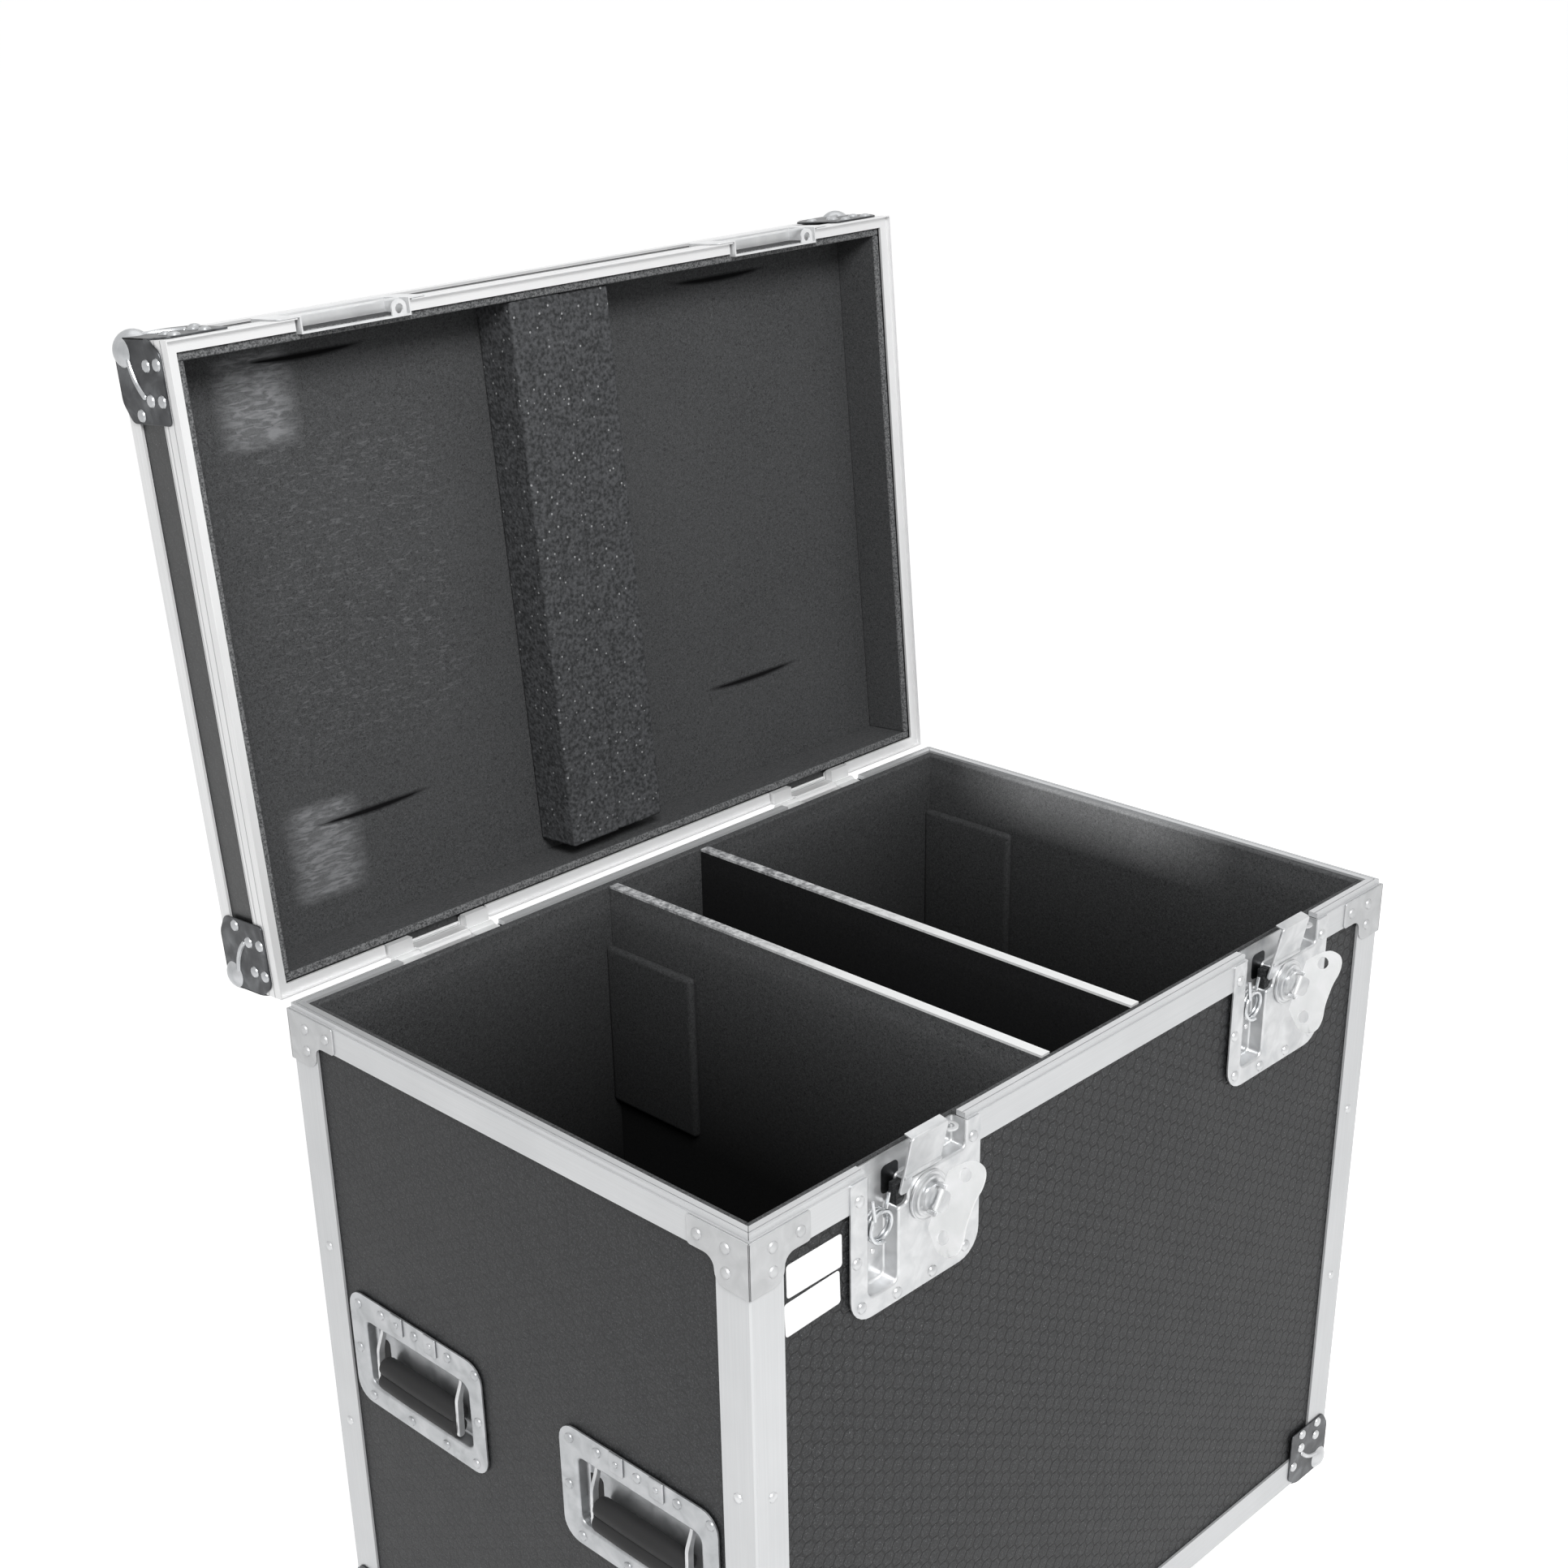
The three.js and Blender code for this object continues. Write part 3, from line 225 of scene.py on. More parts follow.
def moved(place: Matrix, *sources: BMesh) -> BMesh:
    """The sources in one bmesh, moved.

    Args:
        place: the move.
        sources: the bmeshes that are used up.

    Returns:
        One bmesh that holds them all.
    """
    bm = new_mesh()
    for source in sources:
        absorb(bm, source, place)
    return bm


def flat(points: Sequence[Point], radii: Sequence[float], steps: int = 5) -> BMesh:
    """A flat face with its corners rounded.

    Args:
        points: corners, anticlockwise.
        radii: each corner's radius, or 0 for a sharp one.
        steps: segments in each rounded corner.

    Returns:
        A bmesh with one face.
    """
    bm = new_mesh()
    corners = [bm.verts.new((u, v, 0)) for u, v in points]
    bm.faces.new(corners)
    for corner, radius in zip(corners, radii):
        if radius > 0:
            bmesh.ops.bevel(
                bm, geom=[corner], offset=radius, offset_type="OFFSET", segments=steps,
                profile=0.5, affect="VERTICES", clamp_overlap=False, material=-1,
            )
    bm.normal_update()
    return bm


def holed(outer: BMesh, holes: Iterable[Triple], sides: int = 20) -> BMesh:
    """The outer face with round holes.

    Args:
        outer: a bmesh with one face.
        holes: (u, v, radius) of each hole.
        sides: sides of each hole.

    Returns:
        The same bmesh, its face filled round the holes.
    """
    bmesh.ops.delete(outer, geom=outer.faces[:], context="FACES_ONLY")
    for u, v, radius in holes:
        place = Matrix.Translation((u, v, 0))
        bmesh.ops.create_circle(outer, segments=sides, radius=radius, matrix=place)
    bmesh.ops.triangle_fill(outer, edges=outer.edges[:], use_beauty=True, use_dissolve=False)
    return outer


def thicken(bm: BMesh, thickness: float) -> BMesh:
    """Pushes a flat shape up into a plate.

    Args:
        bm: a flat shape at w = 0.
        thickness: the plate's thickness.

    Returns:
        The same bmesh, closed.
    """
    grown = bmesh.ops.extrude_face_region(bm, geom=bm.faces[:])
    verts = [g for g in grown["geom"] if isinstance(g, BMVert)]
    bmesh.ops.translate(bm, vec=(0, 0, thickness), verts=verts)
    bmesh.ops.recalc_face_normals(bm, faces=bm.faces)
    return bm


def sunk(bm: BMesh, edges: Sequence[BMEdge], depth: float) -> tuple[list[BMVert], list[BMEdge]]:
    """Draws edges straight down into walls.

    Args:
        bm: the shape that has the edges.
        edges: the edges.
        depth: how far down.

    Returns:
        The new points and the new edges, those of the walls' sides too.
    """
    grown = bmesh.ops.extrude_edge_only(bm, edges=edges)["geom"]
    verts = [g for g in grown if isinstance(g, BMVert)]
    bmesh.ops.translate(bm, vec=(0, 0, -depth), verts=verts)
    return verts, [g for g in grown if isinstance(g, BMEdge)]


def pressed(bm: BMesh, rim: Sequence[BMEdge], edge: float, sheet: float) -> None:
    """Closes a drawn shape's floor and makes it a rounded sheet.

    Args:
        bm: the shape, open at its floor.
        rim: the edges round the floor.
        edge: how far in the bends are rounded.
        sheet: the sheet's thickness.
    """
    bmesh.ops.contextual_create(bm, geom=rim)
    bmesh.ops.recalc_face_normals(bm, faces=bm.faces)
    if sum(f.normal.z for f in bm.faces if abs(f.normal.z) > 0.9) < 0:
        bmesh.ops.reverse_faces(bm, faces=bm.faces)
    soften(bm, edge, 3, 50)
    bmesh.ops.translate(bm, vec=(0, 0, sheet), verts=bm.verts)
    bmesh.ops.solidify(bm, geom=bm.faces[:], thickness=sheet)


def opening(bounds: Rectangle, corner: float, steps: int, floor: float) -> BMesh:
    """A thin plate just above a dish's floor which, given a dark finish, is painted shade that reads as an
    opening in it.

    Args:
        bounds: its left, low, right and high.
        corner: the radius of its corners.
        steps: segments in each corner.
        floor: height of the dish's floor.

    Returns:
        The plate.
    """
    left, low, right, high = bounds
    points = [(left, low), (right, low), (right, high), (left, high)]
    plate = thicken(flat(points, [corner] * 4, steps), 0.2)
    return moved(Matrix.Translation((0, 0, floor + 0.05)), plate)


def soften(bm: BMesh, width: float, steps: int = 2, angle: float = 40.0,
           chosen: Optional[Callable[[BMEdge], bool]] = None) -> BMesh:
    """Rounds the sharp edges.

    Args:
        bm: the shape.
        width: how far in each edge is rounded.
        steps: segments in the rounding.
        angle: edges sharper than this are rounded.
        chosen: a test that leaves other edges sharp.

    Returns:
        The same bmesh.
    """
    limit = math.radians(angle)
    edges = [e for e in bm.edges if len(e.link_faces) == 2 and e.calc_face_angle(0) > limit]
    edges = [e for e in edges if chosen is None or chosen(e)]
    if edges:
        rounded = set(bmesh.ops.bevel(
            bm, geom=edges, offset=width, offset_type="OFFSET", segments=steps,
            profile=0.5, affect="EDGES", clamp_overlap=True, material=-1,
        )["faces"])
        for edge in bm.edges:
            if len(edge.link_faces) == 2 and len(rounded.intersection(edge.link_faces)) == 1:
                edge.smooth = False
    return bm


def box(low: Sequence[float], high: Sequence[float]) -> BMesh:
    """A box between two corners.

    Args:
        low: the corner where every measure is least.
        high: the opposite corner.

    Returns:
        The box.
    """
    bm = new_mesh()
    middle = (Vector(low) + Vector(high)) / 2
    size = Vector(high) - Vector(low)
    place = Matrix.Translation(middle) @ Matrix.Diagonal((*size, 1))
    bmesh.ops.create_cube(bm, size=1, matrix=place)
    return bm


def turned(profile: Sequence[Point], steps: int = 32) -> BMesh:
    """A turned shape round the w axis.

    Args:
        profile: (radius, w) points from the axis, or in a closed ring.
        steps: how many steps go round.

    Returns:
        A closed bmesh.
    """
    bm = new_mesh()
    verts = [bm.verts.new((r, 0, w)) for r, w in profile]
    edges = [bm.edges.new(pair) for pair in zip(verts, verts[1:])]
    bmesh.ops.spin(
        bm, geom=verts + edges, cent=(0, 0, 0), axis=(0, 0, 1), angle=2 * math.pi,
        steps=steps, use_merge=True, use_duplicate=False,
    )
    bmesh.ops.remove_doubles(bm, verts=bm.verts, dist=0.001)
    bmesh.ops.recalc_face_normals(bm, faces=bm.faces)
    return bm


def rod(start: Sequence[float], end: Sequence[float], radius: float, sides: int = 16) -> BMesh:
    """A round bar between two points, its ends slightly rounded.

    Args:
        start: the middle of one end.
        end: the middle of the other.
        radius: the bar's radius.
        sides: sides of the bar.

    Returns:
        The bar.
    """
    bm = new_mesh()
    a, b = Vector(start), Vector(end)
    turn = (b - a).to_track_quat("Z", "Y").to_matrix().to_4x4()
    bmesh.ops.create_cone(
        bm, cap_ends=True, segments=sides, radius1=radius, radius2=radius, depth=(b - a).length,
        matrix=Matrix.Translation((a + b) / 2) @ turn,
    )
    return soften(bm, radius * 0.18, 2, 60)


def swept(centre: Sequence[float], axis: Sequence[float], start: Sequence[float], degrees: float,
          radius: float, steps: int, lift: float = 0.0, sides: int = 8) -> BMesh:
    """A round wire bent round an axis, such as a spring or a pressed rib.

    Args:
        centre: a point on the axis.
        axis: the axis it is bent round.
        start: where the wire starts.
        degrees: how far it goes round.
        radius: the wire's radius.
        steps: how many steps it is made in.
        lift: how far it climbs along the axis in all.
        sides: sides of the wire.

    Returns:
        A closed bmesh.
    """
    bm = new_mesh()
    out = (Vector(start) - Vector(centre)).normalized()
    along = Vector(axis).normalized().cross(out)
    turn = along.to_track_quat("Z", "Y").to_matrix().to_4x4()
    ring = bmesh.ops.create_circle(
        bm, cap_ends=True, segments=sides, radius=radius, matrix=Matrix.Translation(start) @ turn,
    )["verts"]
    geom: list[Any] = list(ring) + list({f for v in ring for f in v.link_faces})
    bmesh.ops.spin(
        bm, geom=geom, cent=centre, axis=axis, dvec=Vector(axis).normalized() * (lift / steps),
        angle=math.radians(degrees), steps=steps, use_duplicate=False,
    )
    bmesh.ops.recalc_face_normals(bm, faces=bm.faces)
    return bm


def dome(place: Matrix, radius: float, height: float, sides: int = 12) -> BMesh:
    """A rivet's head, its lower half sunk.

    Args:
        place: where its middle is, and which way it faces.
        radius: its radius.
        height: how far it stands out.
        sides: how many sides go round.

    Returns:
        The head.
    """
    bm = new_mesh()
    shape = Matrix.Diagonal((radius, radius, height, 1))
    bmesh.ops.create_uvsphere(bm, u_segments=sides, v_segments=6, radius=1, matrix=place @ shape)
    return bm


def rivets(spots: Iterable[Point], surface: float = 0.0, radius: float = 4.3, height: float = 2.3) -> BMesh:
    """Rivet heads on a flat surface.

    Args:
        spots: (u, v) of each head.
        surface: height of the surface.
        radius: radius of the heads.
        height: how far they stand out.

    Returns:
        One bmesh with all the heads.
    """
    bm = new_mesh()
    for u, v in spots:
        absorb(bm, dome(Matrix.Translation((u, v, surface)), radius, height))
    return bm


def linked(name: str, data: bpy.types.ID) -> bpy.types.Object:
    """Puts an object into the scene.

    Args:
        name: its name.
        data: its mesh, lamp or camera.

    Returns:
        The object.
    """
    item = bpy.data.objects.new(name, data)
    bpy.context.scene.collection.objects.link(item)
    return item


def publish(name: str, bm: BMesh, look: bpy.types.Material, body: str, place: Matrix,
            hides: Sequence[str] = (), slot: str = "", crease: float = 32.0) -> bpy.types.Object:
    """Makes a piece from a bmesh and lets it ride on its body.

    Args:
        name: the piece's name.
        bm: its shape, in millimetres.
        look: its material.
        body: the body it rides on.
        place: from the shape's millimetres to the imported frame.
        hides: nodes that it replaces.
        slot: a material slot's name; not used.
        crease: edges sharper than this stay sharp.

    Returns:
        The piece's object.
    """
    bmesh.ops.transform(bm, matrix=place, verts=bm.verts)
    if place.determinant() < 0:
        bmesh.ops.reverse_faces(bm, faces=bm.faces)
    for face in bm.faces:
        face.smooth = True
    for edge in bm.edges:
        if len(edge.link_faces) == 2 and edge.calc_face_angle(0) > math.radians(crease):
            edge.smooth = False
    mesh = bpy.data.meshes.new(name)
    bm.to_mesh(mesh)
    bm.free()
    mesh.materials.append(look)
    piece = linked(name, mesh)
    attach(piece, body)
    if hides:
        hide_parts(*hides)
    log.info("%s: %d faces on %s", name, len(mesh.polygons), body)
    return piece


def dress(node: str, look: bpy.types.Material) -> None:
    """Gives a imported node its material.

    Args:
        node: the node's name.
        look: the material.
    """
    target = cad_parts[node]
    target.data.materials.clear()
    target.data.materials.append(look)


# ---------------------------------------------------------------- finishes


def linear(hex_colour: str) -> tuple[float, float, float, float]:
    """An sRGB hex colour as linear light.

    Args:
        hex_colour: the colour, with its hash.

    Returns:
        Red, green, blue and an alpha of 1.
    """
    parts = [int(hex_colour[i:i + 2], 16) / 255 for i in (1, 3, 5)]
    return (*[p / 12.92 if p <= 0.04045 else ((p + 0.055) / 1.055) ** 2.4 for p in parts], 1.0)


def feed(target: bpy.types.NodeSocket, value: Any) -> None:
    """Sets or links one input.

    Args:
        target: the input.
        value: a number, a vector, a hex colour, a socket, or a node for its first live output.
    """
    if isinstance(value, bpy.types.Node):
        value = next(socket for socket in value.outputs if socket.enabled)
    if isinstance(value, bpy.types.NodeSocket):
        target.id_data.links.new(value, target)
    else:
        target.default_value = linear(value) if isinstance(value, str) else value


def add(tree: bpy.types.NodeTree, kind: str, *values: Any, stops: Sequence[tuple[float, Any]] = (),
        named: Optional[dict[str, Any]] = None, **settings: Any) -> Node:
    """Adds a node with its settings and links.

    Args:
        tree: the tree it goes into.
        kind: the node's type, less the ShaderNode that every type starts with.
        values: what its live inputs get, in their order.
        stops: a ramp's stops, each (place, hex colour or grey level).
        named: what further inputs get, by name.
        settings: the node's own settings.

    Returns:
        The node.
    """
    node = tree.nodes.new(f"ShaderNode{kind}")
    for key, value in settings.items():
        setattr(node, key, value)
    elements = node.color_ramp.elements if stops else ()
    while len(elements) < len(stops):
        elements.new(0.5)
    for element, (place, colour) in zip(elements, stops):
        element.position = place
        element.color = linear(colour) if isinstance(colour, str) else (colour, colour, colour, 1)
    live = [socket for socket in node.inputs if socket.enabled]
    for target, value in zip(live, values):
        feed(target, value)
    for name, value in (named or {}).items():
        feed(node.inputs[name], value)
    return node


class Surface:
    """A material under way: its nodes, its shader and its coordinates in the case's millimetres."""

    def __init__(self, name: str, place: Matrix) -> None:
        """Starts the material.

        Args:
            name: the material's name.
            place: from the case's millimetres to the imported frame, for the base or the open lid.
        """
        self.material = bpy.data.materials.new(name)
        self.material.use_nodes = True
        self.tree = self.material.node_tree
        self.shader = self.tree.nodes["Principled BSDF"]
        location, turn, scale = place.inverted().decompose()
        place_seen = self.add("TexCoord").outputs["Object"]
        self.spot = self.add("Mapping", place_seen, location, tuple(turn.to_euler()), scale)
        self.right, self.back, self.up = self.add("SeparateXYZ", self.spot).outputs

    def add(self, kind: str, *values: Any, **rest: Any) -> Node:
        """Adds a node to the material, as the function of the same name does."""
        return add(self.tree, kind, *values, **rest)

    def drive(self, name: str, value: Any) -> None:
        """Sets or links the shader's input of that name."""
        feed(self.shader.inputs[name], value)

    def window(self, value: Any, low: float, high: float, soft: float) -> Node:
        """Picks out a band of a value.

        Args:
            value: the value's node or socket.
            low: where the band starts.
            high: where it ends.
            soft: how far it fades.

        Returns:
            A node that is 1 inside the band and 0 outside.
        """
        off_middle = self.add("Math", value, (low + high) / 2, operation="SUBTRACT")
        off_middle = self.add("Math", off_middle, operation="ABSOLUTE")
        inside = self.add("Math", (high - low + soft) / 2, off_middle, operation="SUBTRACT")
        return self.add("Math", inside, soft, operation="DIVIDE", use_clamp=True)

    def patch(self, across: Any, along: Any, bounds: Rectangle, soft: Point) -> Node:
        """Picks out a rectangle.

        Args:
            across: the value that runs across it.
            along: the value that runs along it.
            bounds: its left, low, right and high.
            soft: how far it fades across and along.

        Returns:
            A node that is 1 inside the rectangle and 0 outside.
        """
        left, low, right, high = bounds
        bands = self.window(across, left, right, soft[0]), self.window(along, low, high, soft[1])
        return self.add("Math", *bands, operation="MULTIPLY")


@dataclass(frozen=True)
class Finish:
    """A finish: how the real surface is made, and what that gives the eye."""

    name: str
    colour: str
    roughness: float = 0.5
    metallic: float = 0.0

    def material(self, place: Matrix) -> bpy.types.Material:
        """Makes the material.

        Args:
            place: from the case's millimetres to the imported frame, for the base or the open lid.

        Returns:
            The finished material.
        """
        surface = Surface(self.name, place)
        surface.drive("Base Color", self.colour)
        surface.drive("Roughness", self.roughness)
        surface.drive("Metallic", self.metallic)
        self.paint(surface)
        return surface.material

    def paint(self, surface: Surface) -> None:
        """Gives the surface its pattern, if the finish has one."""


@dataclass(frozen=True)
class SatinAluminium(Finish):
    """Extruded aluminium: drawn lines run along the bar, with a faint haze from handling."""

    drawn: Triple = (0.01, 0.01, 1.0)
    # Real drawn lines are some 0.1 mm apart: too fine to show, so they are drawn coarser.
    line_mm: float = 1.1
    line_shade: str = "#a4a6a8"
    line_share: float = 0.3
    line_relief: float = 0.05
    line_gloss: float = 0.1
    haze_mm: float = 55.0
    haze_shade: str = "#9c9ea0"
    haze_share: float = 0.2
    haze_gloss: float = 0.16
    grooves: tuple[float, ...] = ()
    groove_mm: float = 0.9
    groove_edge_mm: float = 0.4
    painted_groove_shade: str = "#6f7173"
    groove_share: float = 0.6
    relief_mm: float = 0.3

    def paint(self, surface: Surface) -> None:
        """Fine lines along each bar, and the extrusion's own grooves at their heights, darkened by painted
        shade.

        Args:
            surface: the material under way.
        """
        along = surface.add("Mapping", surface.spot, named={"Scale": self.drawn})
        lines = surface.add("TexNoise", along, 1 / self.line_mm, 3.0)
        haze = surface.add("TexNoise", surface.spot, 1 / self.haze_mm, 4.0)
        share = surface.add("Math", lines, self.line_share, operation="MULTIPLY")
        tone = surface.add("Mix", share, self.colour, self.line_shade, data_type="RGBA")
        share = surface.add("Math", haze, self.haze_share, operation="MULTIPLY")
        tone = surface.add("Mix", share, tone, self.haze_shade, data_type="RGBA")
        relief = surface.add("Math", lines, self.line_relief, operation="MULTIPLY")
        half = self.groove_mm / 2
        # Each groove is painted darker as the shade in it, and sunk by the bump.
        for groove in self.grooves:
            cut = surface.window(surface.up, groove - half, groove + half, self.groove_edge_mm)
            share = surface.add("Math", cut, self.groove_share, operation="MULTIPLY")
            tone = surface.add("Mix", share, tone, self.painted_groove_shade, data_type="RGBA")
            relief = surface.add("Math", relief, cut, operation="SUBTRACT")
        surface.drive("Base Color", tone)
        least = self.roughness - self.haze_gloss / 2
        rough = surface.add("Math", haze, self.haze_gloss, least, operation="MULTIPLY_ADD")
        rough = surface.add("Math", lines, self.line_gloss, rough, operation="MULTIPLY_ADD")
        surface.drive("Roughness", rough)
        stands = {"Height": relief, "Distance": self.relief_mm * MM}
        surface.drive("Normal", surface.add("Bump", named=stands))


@dataclass(frozen=True)
class ZincPlate(Finish):
    """Pressed steel, zinc-plated: bright and smooth, with faint smears and dull spots in the plating."""

    dull: str = "#b4b6b8"
    bright: str = "#d4d5d6"
    tones_at: Triple = (0.3, 0.5, 0.72)
    smear_mm: float = 16.0
    smear_gloss: float = 0.16
    # The plating's real grain is too fine to show, so it is drawn coarser.
    grain_mm: float = 0.9
    grain_gloss: float = 0.05
    grain_relief: float = 0.3
    relief_mm: float = 0.03

    def paint(self, surface: Surface) -> None:
        """Slightly uneven brightness over smooth metal.

        Args:
            surface: the material under way.
        """
        swirl = {"Distortion": 0.6}
        smear = surface.add("TexNoise", surface.spot, 1 / self.smear_mm, 5.0, named=swirl)
        grain = surface.add("TexNoise", surface.spot, 1 / self.grain_mm, 2.0)
        stops = tuple(zip(self.tones_at, (self.dull, self.colour, self.bright)))
        surface.drive("Base Color", surface.add("ValToRGB", smear, stops=stops))
        least = self.roughness - self.smear_gloss / 2
        rough = surface.add("Math", smear, self.smear_gloss, least, operation="MULTIPLY_ADD")
        rough = surface.add("Math", grain, self.grain_gloss, rough, operation="MULTIPLY_ADD")
        surface.drive("Roughness", rough)
        height = surface.add("Math", grain, self.grain_relief, smear, operation="MULTIPLY_ADD")
        stands = {"Height": height, "Distance": self.relief_mm * MM}
        surface.drive("Normal", surface.add("Bump", named=stands))


@dataclass(frozen=True)
class HexLaminate(Finish):
    """Phenolic laminate on plywood, embossed with closely packed hexagons with narrow valleys."""

    pitch_mm: float = 11.7
    relief_mm: float = 0.3
    side_relief: float = 0.3
    painted_valley_shade: str = "#060607"
    valley_share: float = 0.7
    valley_width: float = 0.07
    valley_slope: float = 0.13
    gloss: float = 0.32
    worn: str = "#38393b"
    # The film's real grain is too fine to show, so its specks and sparks are drawn coarser.
    speck_mm: float = 1.5
    speck_relief: float = 0.2
    speck_stops: tuple[Point, ...] = ((0.48, 0.0), (0.66, 1.0))
    spark_mm: float = 0.9
    spark: str = "#9a9b9c"
    spark_stops: tuple[Point, ...] = ((0.64, 0.0), (0.74, 1.0))
    scuff_mm: float = 28.0
    scuff_share: float = 0.35
    scuff_gloss: float = 0.2
    facing_side: float = 0.7
    middle_height: float = 321.0
    level_from: float = 317.0
    # The lattice starts this many pitches off, so that no part of the case has a negative place in it.
    far: float = 1000.0

    def lattice(self, surface: Surface, pitches: Node) -> Node:
        """How far a point is from its hexagon's edge.

        Args:
            surface: the material under way.
            pitches: a vector whose X and Y run along the face, in pitches.

        Returns:
            A node that is 0 at a hexagon's edge and 1 at its middle.
        """
        root = math.sqrt(3)
        cells = []
        for start in (self.far, self.far + 0.5):
            cell = surface.add("VectorMath", pitches, (start, start * root, 0.0), operation="ADD")
            cell = surface.add("VectorMath", cell, (1.0, root, 1.0), operation="MODULO")
            cell = surface.add("VectorMath", cell, (0.5, root / 2, 0.5), operation="SUBTRACT")
            cell = surface.add("VectorMath", cell, operation="ABSOLUTE")
            across, high = surface.add("SeparateXYZ", cell).outputs[:2]
            rise = surface.add("Math", high, root / 2, operation="MULTIPLY")
            slant = surface.add("Math", across, 0.5, rise, operation="MULTIPLY_ADD")
            cells.append(surface.add("Math", across, slant, operation="MAXIMUM"))
        nearest = surface.add("Math", *cells, operation="MINIMUM")
        return surface.add("Math", nearest, -2.0, 1.0, operation="MULTIPLY_ADD")

    def paint(self, surface: Surface) -> None:
        """Raised hexagons with a speckled grain, valleys darkened by painted shade, and faint scuffs.

        Args:
            surface: the material under way.
        """
        facing = surface.add("SeparateXYZ", surface.add("NewGeometry").outputs["Normal"])
        sideways = surface.add("Math", facing, operation="ABSOLUTE")
        sideways = surface.add("Math", sideways, self.facing_side, operation="GREATER_THAN")
        along = surface.add("Mix", sideways, surface.right, surface.back, data_type="FLOAT")
        off_middle = surface.add("Math", surface.up, self.middle_height, operation="SUBTRACT")
        off_middle = surface.add("Math", off_middle, operation="ABSOLUTE")
        level = surface.add("Math", off_middle, self.level_from, operation="GREATER_THAN")
        rise = surface.add("Mix", level, surface.up, surface.back, data_type="FLOAT")
        rows = [surface.add("Math", way, self.pitch_mm, operation="DIVIDE") for way in (rise, along)]
        edge = self.lattice(surface, surface.add("CombineXYZ", *rows))
        raised = surface.add("Math", edge, self.valley_width, operation="SUBTRACT")
        raised = surface.add("Math", raised, self.valley_slope, operation="DIVIDE", use_clamp=True)
        smooth = surface.add("Math", sideways, 1.0 - self.side_relief, operation="MULTIPLY")
        raised = surface.add("Math", raised, smooth, operation="MAXIMUM")
        speck = surface.add("TexNoise", surface.spot, 1 / self.speck_mm, 3.0)
        spark = surface.add("TexNoise", surface.spot, 1 / self.spark_mm, 2.0)
        spark = surface.add("ValToRGB", spark, stops=self.spark_stops)
        scuff = surface.add("TexNoise", surface.spot, 1 / self.scuff_mm, 6.0, 0.65)
        share = surface.add("ValToRGB", speck, stops=self.speck_stops)
        tone = surface.add("Mix", share, self.colour, self.worn, data_type="RGBA")
        share = surface.add("Math", scuff, self.scuff_share, operation="MULTIPLY")
        tone = surface.add("Mix", share, tone, self.worn, data_type="RGBA")
        share = surface.add("Math", spark, scuff, operation="MULTIPLY")
        tone = surface.add("Mix", share, tone, self.spark, data_type="RGBA")
        # Painted shade: the valleys between the raised cells are darkened.
        least = 1.0 - self.valley_share
        share = surface.add("Math", raised, self.valley_share, least, operation="MULTIPLY_ADD")
        surface.drive("Base Color", surface.add("Mix", share, self.painted_valley_shade, tone, data_type="RGBA"))
        least = self.roughness - self.scuff_gloss / 2
        rough = surface.add("Math", scuff, self.scuff_gloss, least, operation="MULTIPLY_ADD")
        surface.drive("Roughness", rough)
        surface.drive("Specular IOR Level", self.gloss)
        height = surface.add("Math", speck, self.speck_relief, raised, operation="MULTIPLY_ADD")
        stands = {"Height": height, "Distance": self.relief_mm * MM}
        surface.drive("Normal", surface.add("Bump", named=stands))


@dataclass(frozen=True)
class BoardedFloor(HexLaminate):
    """The laminated floor with its castor boards, and the zinc forks of the rigid castors below them."""

    forks_below: float = -7.05
    fork: str = "#c4c5c6"
    blotch: str = "#a8aaac"
    blotch_mm: float = 9.0
    fork_metallic: float = 0.75

    def paint(self, surface: Surface) -> None:
        """Laminate above, and zinc-plated steel below the castor boards.

        Args:
            surface: the material under way.
        """
        super().paint(surface)
        laminate = surface.shader.inputs["Base Color"].links[0].from_socket
        metal = surface.add("Math", surface.up, self.forks_below, operation="LESS_THAN")
        plating = surface.add("TexNoise", surface.spot, 1 / self.blotch_mm, 2.0)
        plating = surface.add("Mix", plating, self.fork, self.blotch, data_type="RGBA")
        surface.drive("Base Color", surface.add("Mix", metal, laminate, plating, data_type="RGBA"))
        surface.drive("Metallic", surface.add("Math", metal, self.fork_metallic, operation="MULTIPLY"))


